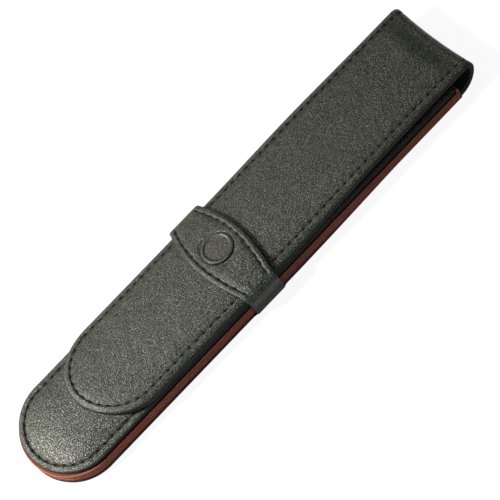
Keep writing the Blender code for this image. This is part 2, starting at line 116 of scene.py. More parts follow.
def bell(distance: Places, width: float) -> Places:
    """A soft bump of height 1 at distance 0."""
    return np.exp(-((distance / width) ** 2))


def shoulder(inset: Places, width: float, height: float) -> Places:
    """How far an edge, rounded over a width, lies under its face at distances in from it."""
    share = 1 - ramp(inset, 0.0, width)
    return height * (1 - np.sqrt(np.clip(1 - share * share, 0.0, 1.0)))


def waver(run: Places, coarse: tuple[float, float], fine: tuple[float, float]) -> Places:
    """The slight unevenness of a cut edge: two waves, each with its length and its start."""
    waves = zip(WAVE_HEIGHTS, (coarse, fine))
    return sum(height * np.sin(run / (length * MM) + start) for height, (length, start) in waves)


@dataclass(frozen=True)
class Strip:
    """The path of the one strip of leather, seen from the side, and the swell that its flap lies over."""

    fold_front: float = 81.0 * MM
    half_width: float = 17.0 * MM
    flap_half_width: float = 16.5 * MM
    fold_half_width: float = 15.8 * MM
    taper_length: float = 70.0 * MM
    mouth: float = 73.0 * MM
    end_centre: float = -66.5 * MM
    end_depth_share: float = 0.88
    tongue_centre: float = -44.5 * MM
    bend_turn: float = math.radians(75)
    crease_radius: float = 2.6 * MM
    fold_top: float = 9.2 * MM
    fold_lining_depth: float = 0.85 * MM
    front_edge_top: float = 6.05 * MM
    full_crown: float = 2.5 * MM
    closed_end_crown: float = 2.3 * MM
    fold_crown: float = 1.3 * MM
    crown_rise: float = 34.0 * MM
    crown_fall: float = 7.0 * MM
    edge_rest: float = 0.1 * MM
    tongue_lift: float = 0.48 * MM
    lift_from: float = -42.0 * MM
    lift_over: float = 19.0 * MM
    lift_length: float = 40.0 * MM
    strap_y: float = -4.0 * MM
    strap_half: float = 8.25 * MM
    fold_sag: float = 0.75 * MM
    sag_from: float = 72.0 * MM
    sag_over: float = 8.0 * MM

    @property
    def crease_y(self) -> float:
        """Where the crease ends and the flap begins."""
        return self.fold_front - self.crease_radius

    @property
    def bend_radius(self) -> float:
        """The radius of the wide bend."""
        crease = self.crease_radius * (1 + math.cos(self.bend_turn))
        return (self.fold_top - crease) / (1 - math.cos(self.bend_turn))

    @property
    def bend_y(self) -> float:
        """Where the back starts to rise."""
        return self.crease_y - (self.bend_radius - self.crease_radius) * math.sin(self.bend_turn)

    @property
    def bend_end(self) -> float:
        """The distance along the strip at which the wide bend turns into the crease."""
        return self.bend_y + self.bend_radius * self.bend_turn

    @property
    def crease_end(self) -> float:
        """The distance along the strip at which the crease turns into the flap."""
        return self.bend_end + self.crease_radius * (math.pi - self.bend_turn)

    @property
    def crease_start_point(self) -> Vector:
        """The point of the outer face at which the crease begins."""
        y, z = self.point(np.array([self.bend_end]), np.array([0.0]))
        return Vector((0.0, float(y[0]), float(z[0])))

    @property
    def crease_end_point(self) -> Vector:
        """The point of the outer face at which the crease ends."""
        return Vector((0.0, self.crease_y, self.fold_top))

    def point(self, along: Places, depth: Places) -> tuple[Places, Places]:
        """Places on the strip seen from the side.

        Args:
            along: Distances along the outer face, from the middle of the pouch.
            depth: Depths under the outer face.

        Returns:
            The places along Y and the heights.
        """
        bend = (along - self.bend_y) / self.bend_radius
        crease = self.bend_turn + (along - self.bend_end) / self.crease_radius
        wide, tight = self.bend_radius - depth, self.crease_radius - depth
        spans = [along <= self.bend_y, along <= self.bend_end, along <= self.crease_end]
        bent_y = [along, self.bend_y + wide * np.sin(bend), self.crease_y + tight * np.sin(crease)]
        middle = self.fold_top - self.crease_radius
        bent_z = [depth, self.bend_radius - wide * np.cos(bend), middle - tight * np.cos(crease)]
        y = np.select(spans, bent_y, self.crease_y - (along - self.crease_end))
        return y, np.select(spans, bent_z, self.fold_top - depth)

    def crown(self, y: Places) -> Places:
        """How far the front panel swells over its border, on its middle line.

        Args:
            y: Places along Y.

        Returns:
            The swell's height at each place.
        """
        rise = ease(y, self.end_centre, self.crown_rise)
        fall = ease(y, self.crease_y - self.crown_fall, self.crown_fall)
        low, full, end = self.closed_end_crown, self.full_crown, self.fold_crown
        return low + (full - low) * rise - (full - end) * fall

    def narrowed(self, half: float, along: Places, end: float) -> Places:
        """Half the strip's width, which narrows to the fold's up to an end."""
        return between(half, self.fold_half_width, ease(along, end - self.taper_length, self.taper_length))

    def back_half(self, along: Places) -> Places:
        """Half the back's width."""
        return self.narrowed(self.half_width, along, self.mouth)

    def flap_half(self, along: Places) -> Places:
        """Half the flap's width."""
        return self.narrowed(self.flap_half_width, along, self.crease_y)

    def pocket_half(self, along: Places) -> Places:
        """Half the width of the pocket's linings."""
        return np.full_like(along, self.half_width)

    def flap_curve(self, y: Places) -> Places:
        """The flap's fall beside its middle line, over the square of the distance from it."""
        rise = ease(y, self.strap_y + self.strap_half, self.lift_length)
        return (self.crown(y) - between(self.edge_rest, self.fold_crown, rise)) / self.flap_half(y) ** 2

    def drawn_in(self, x: Places, y: Places) -> Places:
        """Places along Y, drawn in where the middle of the fold sags."""
        middle = 1 - ramp(np.abs(x), 0.0, self.fold_half_width) ** 2
        return y - self.fold_sag * middle * ease(y, self.sag_from, self.sag_over)

    def back_point(self, x: Places, along: Places, depth: Places) -> Places:
        """Points of the back and the fold, as rows of three coordinates."""
        y, z = self.point(along, depth)
        return np.stack([x, self.drawn_in(x, y), z], axis=1)

    def flap_point(self, x: Places, along: Places, depth: Places) -> Places:
        """Points of the flap. Along is y on its flat part and runs on round the crease past it.

        Args:
            x: Places across.
            along: Places along Y, past the crease along the leather.
            depth: Depths under the outer face.

        Returns:
            The points, as rows of three coordinates.
        """
        y, z = self.point(self.crease_end + self.crease_y - along, depth)
        lift = self.tongue_lift * ease(-y, -self.lift_from, self.lift_over)
        sag = self.crown(y) - self.fold_crown - self.flap_curve(y) * x * x + lift
        return np.stack([x, self.drawn_in(x, y), z + np.where(along < self.crease_y, sag, 0.0)], axis=1)


@dataclass(frozen=True)
class SeamLine:
    """A line of saddle stitches that runs round a panel at a fixed distance from its edge."""

    inset: float = 2.27 * MM
    pitch: float = 2.8 * MM
    groove_width: float = 0.3 * MM
    groove_depth: float = 0.26 * MM
    # The strength of the painted shade along the groove.
    groove_painted_shade: float = 0.45
    shade_across: float = 1.15
    shade_along: float = 1.5
    hole_width: float = 0.36 * MM
    hole_depth: float = 0.2 * MM

    def holes(self, inset: Places, run: Places, across: float, along: float) -> Places:
        """A soft spot at each hole, as wide as the given shares of a hole's width."""
        phase = (run / self.pitch - np.floor(run / self.pitch) - 0.5) * self.pitch
        return bell(inset - self.inset, self.hole_width * across) * bell(phase, self.hole_width * along)

    def groove(self, inset: Places) -> Places:
        """A soft line along the stitches."""
        return bell(inset - self.inset, self.groove_width)

    def depth(self, inset: Places, run: Places) -> Places:
        """How deep the thread pulls the leather in, in the groove and at its holes."""
        return self.groove_depth * self.groove(inset) + self.hole_depth * self.holes(inset, run, 1.0, 1.0)

    def shade(self, inset: Places, run: Places) -> Places:
        """A mask of painted shade along the groove, darkest in the holes."""
        holes = self.holes(inset, run, self.shade_across, self.shade_along)
        return np.clip(self.groove_painted_shade * self.groove(inset) + holes, 0.0, 1.0)


@dataclass(frozen=True)
class TurnedEdge:
    """The border of a panel, where its leather is turned over a cord of its own thickness."""

    width: float
    height: float
    ridge: float
    puff: float
    puff_start: float = 0.35 * MM
    puff_width: float = 2.2 * MM

    def swell(self, inset: Places, seam: SeamLine) -> Places:
        """How far the leather rises inside the stitch line."""
        return self.puff * ease(inset, seam.inset + self.puff_start, self.puff_width)

    def depth(self, inset: Places, run: Places, seam: SeamLine) -> Places:
        """How deep the leather's face lies under the panel's nominal one.

        Args:
            inset: Distances in from the edge.
            run: Distances along the stitch line.
            seam: The panel's stitch line.

        Returns:
            The depth at each place.
        """
        ridge = self.ridge * bell(inset - (self.width + seam.inset) / 2, seam.inset / 3)
        fall = shoulder(inset, self.width, self.height)
        return fall + seam.depth(inset, run) - ridge - self.swell(inset, seam)


@dataclass(frozen=True)
class Outline:
    """A long panel with one round end, described by how far in from its edge a place is."""

    start: float
    end: float
    half_at: Callable[[Places], Places]
    depth_share: float = 1.0
    last_rows: tuple[float, ...] = ()
    seam: SeamLine = SeamLine()
    steps_per_stitch: int = 7

    @property
    def half(self) -> float:
        """Half the width at the round end."""
        return self.half_width_at(self.start)

    @property
    def arc(self) -> float:
        """The length of the stitch line round a quarter turn of the end."""
        return (self.half - self.seam.inset) * math.pi / 4 * (1 + self.depth_share)

    @property
    def length(self) -> float:
        """The length of the stitch line on one side, from the middle of the round end."""
        return self.arc + self.end - self.start

    def half_width_at(self, along: float) -> float:
        """Half the width at one place."""
        return float(self.half_at(np.array([along]))[0])

    def runs(self, step: float) -> list[float]:
        """Places along the stitch line on one side, from the middle of the round end.

        Args:
            step: The distance between them, or 0 for a share of the stitches' pitch.

        Returns:
            The places in order, with the quarter turn's end, the last rows and the panel's end among them.
        """
        step = step or self.seam.pitch / self.steps_per_stitch
        exact = [self.arc, self.length, *(self.length - row for row in self.last_rows)]
        places = [step * i for i in range(int(self.length / step) + 1)]
        return sorted([p for p in places if all(abs(p - e) > step / 3 for e in exact)] + exact)

    def flat_place(self, inset: float | None, run: float, side: int) -> tuple[float, float]:
        """A place on the flat panel.

        Args:
            inset: The distance in from the edge, or None for the middle line.
            run: The distance along the stitch line.
            side: 1 for the right side and -1 for the left one.

        Returns:
            The place across and the place along.
        """
        along = max(self.start + run - self.arc, self.start)
        reach = 0.0 if inset is None else self.half_width_at(along) - inset
        if run >= self.arc:
            return side * reach, along
        angle = run / self.arc * math.pi / 2
        return side * math.sin(angle) * reach, self.start - math.cos(angle) * reach * self.depth_share

    def measure(self, x: Places, along: Places) -> tuple[Places, Places]:
        """The distance in from the edge, and the distance along the stitch line, of places on the panel.

        Args:
            x: Places across.
            along: Places along the panel.

        Returns:
            The distances in from the edge and those along the stitch line.
        """
        below = np.maximum(self.start - along, NEAR_ZERO) / self.depth_share
        straight = along >= self.start
        inset = np.where(straight, self.half_at(along) - np.abs(x), self.half - np.hypot(x, below))
        angle = np.arctan2(np.abs(x), below)
        return inset, np.where(straight, self.arc + along - self.start, angle / (math.pi / 2) * self.arc)


def edge_insets(width: float, steps: int = 5) -> list[float]:
    """Distances in from a rounded edge, closest at the edge itself."""
    return [width * (1 - math.cos(math.pi / 2 * step / steps)) for step in range(steps + 1)]


def painted_edge_shade(inset: Places) -> Places:
    """A mask of painted shade on a panel's outermost edge, which also makes it matt."""
    return PAINTED_EDGE_SHADE * (1 - ease(inset, EDGE_FULL, EDGE_FADE))


def panel_insets(width: float, outline: Outline) -> list[float]:
    """Distances in from a panel's edge: round the edge, over the stitch line and across its middle.

    Args:
        width: The width of the rounded edge.
        outline: The panel's shape.

    Returns:
        The distances in order, short of the middle line.
    """
    seam = outline.seam
    steps = (-1.6, -0.95, -0.45, 0.0, 0.45, 0.95, 1.6)
    line = [seam.inset + step * seam.groove_width for step in steps]
    shares = (0.06, 0.13, 0.22, 0.33, 0.45, 0.58, 0.72, 0.86)
    inner = [line[-1] + share * (outline.half - line[-1]) for share in shares]
    return edge_insets(width) + [(width + line[0]) / 2] + line + inner


class Bench:
    """The modelling steps that the pieces share."""

    RAISE = 1.0
    WELD = 0.0005 * MM
    CORNER = 0.01 * MM
    SHARP = math.radians(50)

    @staticmethod
    def clear() -> None:
        """Leaves nothing selected."""
        if bpy.context.object and bpy.context.object.mode != "OBJECT":
            bpy.ops.object.mode_set(mode="OBJECT")
        bpy.ops.object.select_all(action="DESELECT")

    @classmethod
    def pick(cls, piece: Piece) -> None:
        """Selects one piece alone.

        Args:
            piece: The object.
        """
        cls.clear()
        piece.select_set(True)
        bpy.context.view_layer.objects.active = piece

    @staticmethod
    @contextmanager
    def editing(select: str | None = "SELECT") -> Iterator[None]:
        """Edit mode for a block of steps, with everything, nothing or the same as before selected.

        Args:
            select: SELECT, DESELECT, or None for the same as before.

        Returns:
            The context for the block.
        """
        bpy.ops.object.mode_set(mode="EDIT")
        if select:
            bpy.ops.mesh.select_all(action=select)
        yield
        bpy.ops.object.mode_set(mode="OBJECT")

    @staticmethod
    def named(name: str) -> Piece:
        """Gives the new object its name, and its mesh the same one.

        Args:
            name: Its name.

        Returns:
            The object.
        """
        made = bpy.context.object
        made.name = made.data.name = name
        return made

    @staticmethod
    def places(piece: Piece) -> Places:
        """The places of a mesh's points, as rows.

        Args:
            piece: The object.

        Returns:
            One row of three coordinates for each point.
        """
        flat = np.empty(len(piece.data.vertices) * 3)
        piece.data.vertices.foreach_get("co", flat)
        return flat.reshape(-1, 3)

    @staticmethod
    def put(piece: Piece, places: Places) -> None:
        """Moves a mesh's points."""
        piece.data.vertices.foreach_set("co", np.ascontiguousarray(places, dtype=float).ravel())
        piece.data.update()

    @classmethod
    def grid(cls, name: str, flat: Places) -> Piece:
        """A flat grid drawn from a table of places, welded where it meets itself.

        Args:
            name: The object's name.
            flat: Places across and along, for each row and each column of the grid.

        Returns:
            The new object.
        """
        rows, columns = flat.shape[:2]
        cls.clear()
        bpy.ops.mesh.primitive_grid_add(x_subdivisions=columns - 1, y_subdivisions=rows - 1, size=2.0)
        made = cls.named(name)
        spots = cls.places(made)
        column = np.rint((spots[:, 0] + 1) / 2 * (columns - 1)).astype(int)
        row = np.rint((spots[:, 1] + 1) / 2 * (rows - 1)).astype(int)
        spots[:, :2] = flat[row, column]
        spots[:, 2] = 0.0
        cls.put(made, spots)
        with cls.editing():
            bpy.ops.mesh.remove_doubles(threshold=cls.WELD)
        return made

    @classmethod
    def thicken(cls, made: Piece, faces: Faces, masks: Masks | None = None) -> Piece:
        """Extrudes a flat grid into a closed sheet and bends its two faces into place.

        Args:
            made: The flat grid.
            faces: Gives the points of face 0 or 1 for places across and along.
            masks: Gives the masks that the material reads, by name, for the same places.

        Returns:
            The same object.
        """
        with cls.editing():
            bpy.ops.mesh.extrude_region_move(TRANSFORM_OT_translate={"value": (0.0, 0.0, cls.RAISE)})
        x, along, height = cls.places(made).T
        for name, values in (masks(x, along) if masks else {}).items():
            kept = made.data.attributes.new(name, "FLOAT", "POINT")
            kept.data.foreach_set("value", np.ascontiguousarray(values, dtype=np.float32))
        cls.put(made, np.where(height[:, None] > cls.RAISE / 2, faces(x, along, 1), faces(x, along, 0)))
        return cls.face_out(made)

    @classmethod
    def face_out(cls, made: Piece) -> Piece:
        """Turns every face outwards and shades the mesh smooth, with its sharp edges kept.

        Args:
            made: The object.

        Returns:
            The same object.
        """
        cls.pick(made)
        with cls.editing():
            bpy.ops.mesh.normals_make_consistent(inside=False)
        bpy.ops.object.shade_smooth_by_angle(angle=cls.SHARP)
        return made

    @classmethod
    def panel(
        cls, name: str, outline: Outline, insets: list[float], faces: Faces, step: float = 0.0, rim: float = 0.0
    ) -> Piece:
        """A closed sheet in a panel's outline, with rows that run in from its edge to its middle.

        Args:
            name: The object's name.
            outline: The panel's shape.
            insets: The distances in from the edge at which it has points.
            faces: Gives the points of face 0 or 1 for places across and along.
            step: The distance between rows, or 0 for a share of the stitches' pitch.
            rim: How far in the corners of a cut edge reach, or 0 for a turned edge with a seam.

        Returns:
            The new object.
        """

        def masks(x: Places, along: Places) -> dict[str, Places]:
            """The mask of painted shade in the panel's stitch groove and holes and on its outermost edge, or
            the mask of its cut edge.

            Args:
                x: Places across.
                along: Places along the panel.

            Returns:
                The mask that the finish reads, by its name.
            """
            inset, run = outline.measure(x, along)
            if rim:
                return {"rim": ((inset > insets[0] + cls.CORNER) & (inset < rim)).astype(float)}
            # The seam mask holds painted shade in the stitch groove and holes and on the outermost edge.
            return {"seam": np.maximum(outline.seam.shade(inset, run), painted_edge_shade(inset))}

        runs = outline.runs(step)
        rows = [(run, -1) for run in reversed(runs)] + [(run, 1) for run in runs if run > 0]
        flat = [[outline.flat_place(inset, run, side) for inset in [*insets, None]] for run, side in rows]
        return cls.thicken(cls.grid(name, np.array(flat)), faces, masks)

    @classmethod
    def modify(cls, made: Piece, kind: str, **settings: float | str) -> None:
        """Adds a modifier with its settings and applies it.

        Args:
            made: The object.
            kind: The modifier's type.
            settings: Its settings, by name.
        """
        cls.pick(made)
        modifier = made.modifiers.new(kind.lower(), kind)
        for key, value in settings.items():
            setattr(modifier, key, value)
        bpy.ops.object.modifier_apply(modifier=modifier.name)


@dataclass(frozen=True)
class Thread:
    """One stitch of waxed thread, modelled once and laid along a seam as often as it needs."""

    length: float = 2.35 * MM
    width: float = 0.38 * MM
    height: float = 0.3 * MM
    end_drop: float = 0.2 * MM
    bluntness: float = 0.85
    slant: float = math.radians(9)
    lift: float = 0.02 * MM
    probe: float = 0.2 * MM

    def shape(self) -> tuple[Places, list[list[int]]]:
        """One stitch, lying along X, whose ends go down into the leather.

        Returns:
            Its points, and its faces as lists of point numbers.
        """
        Bench.clear()
        bpy.ops.mesh.primitive_uv_sphere_add(segments=7, ring_count=8, radius=0.5)
        made = Bench.named("stitch_pattern")
        size, middle = (self.length, self.width, self.height), (0.0, 0.0, 0.0)
        with Bench.editing():
            bpy.ops.transform.rotate(value=math.pi / 2, orient_axis="Y", center_override=middle)
            bpy.ops.transform.resize(value=size, center_override=middle)
        spots = Bench.places(made)
        share = spots[:, 0] / (self.length / 2)
        spots[:, 0] = self.length / 2 * np.sign(share) * np.abs(share) ** self.bluntness
        spots[:, 2] -= self.end_drop * share**4
        faces = [list(polygon.vertices) for polygon in made.data.polygons]
        bpy.data.meshes.remove(made.data)
        return spots, faces

    def lay(self, name: str, seats: list[tuple[Places, Places, Places]]) -> Piece:
        """A row of stitches as one mesh.

        Args:
            name: The object's name.
            seats: For each stitch its middle, the way that it runs, and the way out of the leather.

        Returns:
            The new object.
        """
        spots, faces = self.shape()
        points, loops = [], []
        for middle, ahead, out in seats:
            ahead = ahead / np.linalg.norm(ahead)
            out = out - ahead * (out @ ahead)
            out = out / np.linalg.norm(out)
            turned = ahead * math.cos(self.slant) + np.cross(out, ahead) * math.sin(self.slant)
            side = np.cross(out, turned)
            first = len(points) * len(spots)
            points.append(middle + spots[:, :1] * turned + spots[:, 1:2] * side + spots[:, 2:] * out)
            loops += [[first + corner for corner in face] for face in faces]
        mesh = bpy.data.meshes.new(name)
        mesh.from_pydata(np.concatenate(points).tolist(), [], loops)
        made = bpy.data.objects.new(name, mesh)
        bpy.context.collection.objects.link(made)
        return Bench.face_out(made)

    def follow(
        self, name: str, outline: Outline, surface: Callable[[Places, Places], Places], stop: float
    ) -> Piece:
        """Stitches along both sides of a panel and round its end.

        Args:
            name: The object's name.
            outline: The panel's shape, with its stitch line.
            surface: Gives the leather's points for places across and along.
            stop: Where the rows end, along the stitch line from the middle of the round end.

        Returns:
            The new object.
        """
        pitch, inset, probe = outline.seam.pitch, outline.seam.inset, self.probe
        seats = []
        for side in (-1, 1):
            for number in range(0 if side > 0 else 1, int(stop / pitch + 0.5)):
                run = number * pitch
                around = [(inset, run - probe, side), (inset, run + probe, side), (inset - probe, run, side),
                          (inset + probe, run, side), (inset, run, side)]
                if number == 0:
                    around[0] = (inset, probe, -side)
                flat = np.array([outline.flat_place(*place) for place in around])
                back, ahead, edge, inner, here = surface(flat[:, 0], flat[:, 1])
                out = np.cross(ahead - back, inner - edge) * side
                out = out / np.linalg.norm(out)
                seats.append((here + out * self.lift, ahead - back, out))
        return self.lay(name, seats)


@dataclass(frozen=True)
class Finish:
    """A material, and the record's slot that it stands for."""

    material: bpy.types.Material
    slot: Slot

    def on(self, made: Piece) -> None:
        """Becomes a piece's only material.

        Args:
            made: The object.
        """
        made.data.materials.clear()
        made.data.materials.append(self.material)


@dataclass(frozen=True)
class Finishes:
    """All the finishes of the case."""

    leather: Finish
    disc: Finish
    dark: Finish
    red: Finish
    board: Finish
    thread: Finish


@dataclass
class Part:
    """A sub-assembly of the case, which makes its pieces one after the other."""

    strip: Strip
    finishes: Finishes
    boards: ClassVar[tuple[str, ...]] = ()
    thread_sink: ClassVar[float] = 0.14 * MM

    def makers(self) -> Makers:
        """The methods that make its pieces, in order."""
        raise NotImplementedError

    def sewn(self, name: str, outline: Outline, face: Callable[..., Places], short: float = 0.0) -> Piece:
        """The stitches round a panel, which lie in its outer face and stop short of its end.

        Args:
            name: Its name.
            outline: The panel's shape.
            face: Gives the points of the panel's outer face, sunk by a depth.
            short: How far the rows stop short of the panel's end.

        Returns:
            The new object.
        """
        surface = partial(face, sink=self.thread_sink)
        made = Thread().follow(name, outline, surface, outline.length - short)
        self.finishes.thread.on(made)
        return made

    def build(self) -> None:
        """Makes every piece, and gives the boards inside it their finish."""
        for make in self.makers():
            made = make()
            LOG.info("%s: %d faces", made.name, len(made.data.polygons))
        for name in self.boards:
            self.finishes.board.on(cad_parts[name])


@dataclass
class Pouch(Part):
    """The back, the front and the pocket's linings between them."""

    back_leather: float = 0.7 * MM
    back_edge: float = 1.3 * MM
    back_turn: float = 3.6 * MM
    back_round: float = 0.7 * MM
    round_share: float = 0.48
    fold_edge: float = 1.15 * MM
    fold_turn: float = 1.2 * MM
    fold_from: float = 6.0 * MM
    fold_over: float = 9.0 * MM
    fold_lining: float = 0.5 * MM
    fold_lining_inset: float = 0.2 * MM
    row_gap: float = 0.05 * MM
    turn_step: float = 0.3 * MM
    front_leather: float = 0.8 * MM
    lining_edge: float = 1.4 * MM
    lining: float = 0.6 * MM
    lining_inset: float = 0.05 * MM
    cut_round: float = 0.35 * MM
    cut_fall: float = 0.2 * MM
    cut_rim: float = 0.12 * MM
    floor_under_share: float = 0.6
    roof_under_share: float = 0.7
    roof_waver_share: float = 0.6
    front_inset: float = 0.45 * MM
    front_start_share: float = 0.7
    clearance: float = 0.15 * MM
    front_depth: float = 1.5 * MM
    front_turn: float = 3.2 * MM
    front_round: float = 0.6 * MM
    swell_from: float = 2.7 * MM
    swell_power: float = 2.4
    lip: float = 0.95 * MM
    lip_start: float = 0.1 * MM
    lip_over: float = 0.08 * MM
    lip_round: float = 0.4 * MM
    lip_fall: float = 0.38 * MM
    lip_side_round: float = 1.1 * MM
    lip_side_fall: float = 0.6 * MM
    notch_half: float = 5.85 * MM
    notch_floor: float = 0.45 * MM
    front_border: TurnedEdge = TurnedEdge(*mm(1.2, 0.8, 0.16, 0.0))
    boards: ClassVar[tuple[str, ...]] = ("back_stiffener", "front_stiffener")

    @property
    def lining_low(self) -> float:
        """The underside of the pocket's floor."""
        return self.back_edge + self.clearance

    @property
    def roof_low(self) -> float:
        """The underside of the front lining's border."""
        return self.lining_low + self.lining_edge + self.clearance

    @property
    def front_low(self) -> float:
        """The underside of the front leather's border."""
        return self.roof_low + self.lining_edge + self.clearance

    @cached_property
    def back_outline(self) -> Outline:
        """The back and the lower part of the fold, up to the crease."""
        strip = self.strip
        return Outline(strip.end_centre, strip.bend_end, strip.back_half, strip.end_depth_share)

    @cached_property
    def lining_outline(self) -> Outline:
        """The pocket's linings, from the closed end to the mouth, with close rows where the lip turns up."""
        strip, rows = self.strip, tuple(mm(0.86, 0.76, 0.55, 0.4, 0.29, 0.19, 0.1, 0.04))
        return Outline(strip.end_centre, strip.mouth, strip.pocket_half, strip.end_depth_share, rows)

    @cached_property
    def front_outline(self) -> Outline:
        """The front panel, up to its turned lip.

        Returns:
            The panel's shape.
        """
        strip = self.strip
        start, end = strip.end_centre + self.front_inset * self.front_start_share, strip.mouth - self.lip

        def half_at(along: Places) -> Places:
            """Half the front's width."""
            return strip.pocket_half(along) - self.front_inset

        return Outline(start, end, half_at, strip.end_depth_share)

    def back_face(self, x: Places, along: Places, face: int = 0, sink: float = 0.0) -> Places:
        """Points of the back leather's outer or inner face, or sunk under it.

        Args:
            x: Places across.
            along: Places along the panel.
            face: Which of the sheet's two faces, 0 or 1.
            sink: How far under that face the points lie.

        Returns:
            The points, as rows of three coordinates.
        """
        outline = self.back_outline
        inset, run = outline.measure(x, along)
        fold = ease(along, self.strip.mouth - self.fold_from, self.fold_over)
        turn = between(self.back_turn, self.fold_turn, fold)
        thick = between(self.back_edge, self.fold_edge, fold)
        notch = 1 - ramp(np.abs(along - self.strip.strap_y), self.notch_half, self.turn_step)
        top = between(thick, self.notch_floor, notch)
        fall = shoulder(inset, self.back_round, 1.0) * np.minimum(top, thick) * self.round_share
        if face == 0:
            depth = fall + outline.seam.depth(inset, run)
        else:
            inner = between(self.back_leather, top, 1 - ramp(inset, turn, self.turn_step))
            depth = inner - np.where(inset < self.back_round, fall, 0.0)
        return self.strip.back_point(x, along, depth + sink)

    def bend(self, made: Piece) -> None:
        """Bakes a piece's placement into its mesh."""
        self.strip.crease_start_point
        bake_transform(made)

    def back(self) -> Piece:
        """The back's leather, which runs on up the fold.

        Returns:
            The new object.
        """
        insets = panel_insets(self.back_round, self.back_outline)
        insets = sorted(insets + mm(1.3, 1.6) + [self.back_turn, self.back_turn + self.turn_step])
        insets = [i for n, i in enumerate(insets) if n == 0 or i - insets[n - 1] > self.row_gap]
        made = Bench.panel("back_skin", self.back_outline, insets, self.back_face)
        self.finishes.leather.on(made)
        self.bend(made)
        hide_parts("back_leather", "fold_leather")
        return made

    def back_stitches(self) -> Piece:
        """The stitches seen on the underside and up the fold.

        Returns:
            The new object.
        """
        made = self.sewn("back_stitches", self.back_outline, self.back_face)
        self.bend(made)
        return made

    def red_sheet(self, name: str, insets: list[float], faces: Faces, step: float) -> Piece:
        """One of the pocket's two red linings, whose cut edge shows along the side.

        Args:
            name: Its name.
            insets: The distances in from the edge at which it has points, past its rounded edge.
            faces: Gives the points of face 0 or 1 for places across and along.
            step: The distance between rows.

        Returns:
            The new object.
        """
        rounded = [self.lining_inset + inset for inset in edge_insets(self.cut_round, 4)]
        rim = self.lining_inset + self.cut_rim
        made = Bench.panel(name, self.lining_outline, rounded + insets, faces, step, rim)
        self.finishes.red.on(made)
        return made

    def back_lining(self) -> Piece:
        """The pocket's floor.

        Returns:
            The new object.
        """

        def faces(x: Places, along: Places, face: int) -> Places:
            """The floor's under face, or its upper one with a raised border.

            Args:
                x: Places across.
                along: Places along the panel.
                face: Which of the sheet's two faces, 0 or 1.

            Returns:
                The points, as rows of three coordinates.
            """
            inset, run = self.lining_outline.measure(x, along)
            border = (self.lining_edge - self.lining) * (1 - ramp(inset, self.front_turn, self.turn_step))
            rise = self.strip.point(along, np.zeros_like(along))[1]
            fall = shoulder(inset - self.lining_inset, self.cut_round, self.cut_fall)
            uneven = waver(run, (5.3, 0.0), (2.1, 1.0)) * (border > 0)
            high = self.lining_low + self.lining + np.maximum(border - rise, 0.0) - fall + uneven
            low = self.lining_low + fall * self.floor_under_share
            return self.strip.back_point(x, along, low if face == 0 else high)

        insets = mm(1.2, 2.2) + [self.front_turn, self.front_turn + self.turn_step] + mm(6, 11)
        made = self.red_sheet("back_lining_red", insets, faces, 1.4 * MM)
        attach(made, Body.POUCH.value)
        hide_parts("back_lining")
        return made

    def front_height(self, y: Places, inset: Places) -> Places:
        """The front panel's outer face before its border is rounded."""
        share = ramp(inset, self.swell_from, self.strip.half_width - self.swell_from)
        return self.strip.front_edge_top + self.strip.crown(y) * (1 - (1 - share) ** self.swell_power)

    def front_lining(self) -> Piece:
        """The pocket's roof, which turns up over the front's end as a lip.

        Returns:
            The new object.
        """

        def faces(x: Places, along: Places, face: int) -> Places:
            """The roof's under face, or its upper one with the lip.

            Args:
                x: Places across.
                along: Places along the panel.
                face: Which of the sheet's two faces, 0 or 1.

            Returns:
                The points, as rows of three coordinates.
            """
            inset, run = self.lining_outline.measure(x, along)
            inner = ramp(inset, self.front_turn, self.turn_step)
            top = self.front_height(along, inset) - self.front_depth
            fall = shoulder(inset - self.lining_inset, self.cut_round, self.cut_fall)
            lip = ramp(along, self.strip.mouth - self.lip + self.lip_start, self.lip_over)
            round_off = shoulder(self.strip.mouth - along, self.lip_round, self.lip_fall) * lip
            if face == 0:
                low = between(self.roof_low, top - self.lining, inner) + fall * self.roof_under_share
                return np.stack([x, along, low + round_off], axis=1)
            high = between(self.roof_low + self.lining_edge, top, inner) - fall
            high = high + waver(run, (4.7, 2.0), (1.9, 0.0)) * (1 - inner) * self.roof_waver_share
            side = shoulder(inset - self.lining_inset, self.lip_side_round, self.lip_side_fall)
            raised = self.front_height(along, inset) - round_off - side
            return np.stack([x, along, between(high, raised, lip)], axis=1)

        insets = mm(0.55, 0.8, 1.1, 1.6, 2.2) + [self.front_turn, self.front_turn + self.turn_step]
        made = self.red_sheet("front_lining_red", insets + mm(5, 7, 10, 13), faces, 0.7 * MM)
        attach(made, Body.POUCH.value)
        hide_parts("front_lining")
        return made

    def front_face(self, x: Places, along: Places, face: int = 1, sink: float = 0.0) -> Places:
        """Points of the front leather's inner or outer face, or sunk under it.

        Args:
            x: Places across.
            along: Places along the panel.
            face: Which of the sheet's two faces, 0 or 1.
            sink: How far under that face the points lie.

        Returns:
            The points, as rows of three coordinates.
        """
        inset, run = self.front_outline.measure(x, along)
        high = self.front_height(along, inset + self.front_inset)
        if face == 0:
            inner = ramp(inset, self.front_turn, self.turn_step)
            low = between(self.front_low, high - self.front_leather, inner)
            return np.stack([x, along, low + shoulder(inset, self.front_round, self.front_round)], axis=1)
        depth = self.front_border.depth(inset, run, self.front_outline.seam)
        return np.stack([x, along, high - depth - sink], axis=1)

    def front(self) -> Piece:
        """The front panel: a turned border round a long padded swell.

        Returns:
            The new object.
        """
        insets = panel_insets(self.front_border.width, self.front_outline)
        insets = sorted(insets + [self.front_turn, self.front_turn + self.turn_step])
        made = Bench.panel("front_skin", self.front_outline, insets, self.front_face)
        self.finishes.leather.on(made)
        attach(made, Body.POUCH.value)
        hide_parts("front_leather")
        return made

    def front_stitches(self) -> Piece:
        """The stitches round the front panel's border.

        Returns:
            The new object.
        """
        made = self.sewn("front_stitches", self.front_outline, self.front_face)
        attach(made, Body.POUCH.value)
        return made

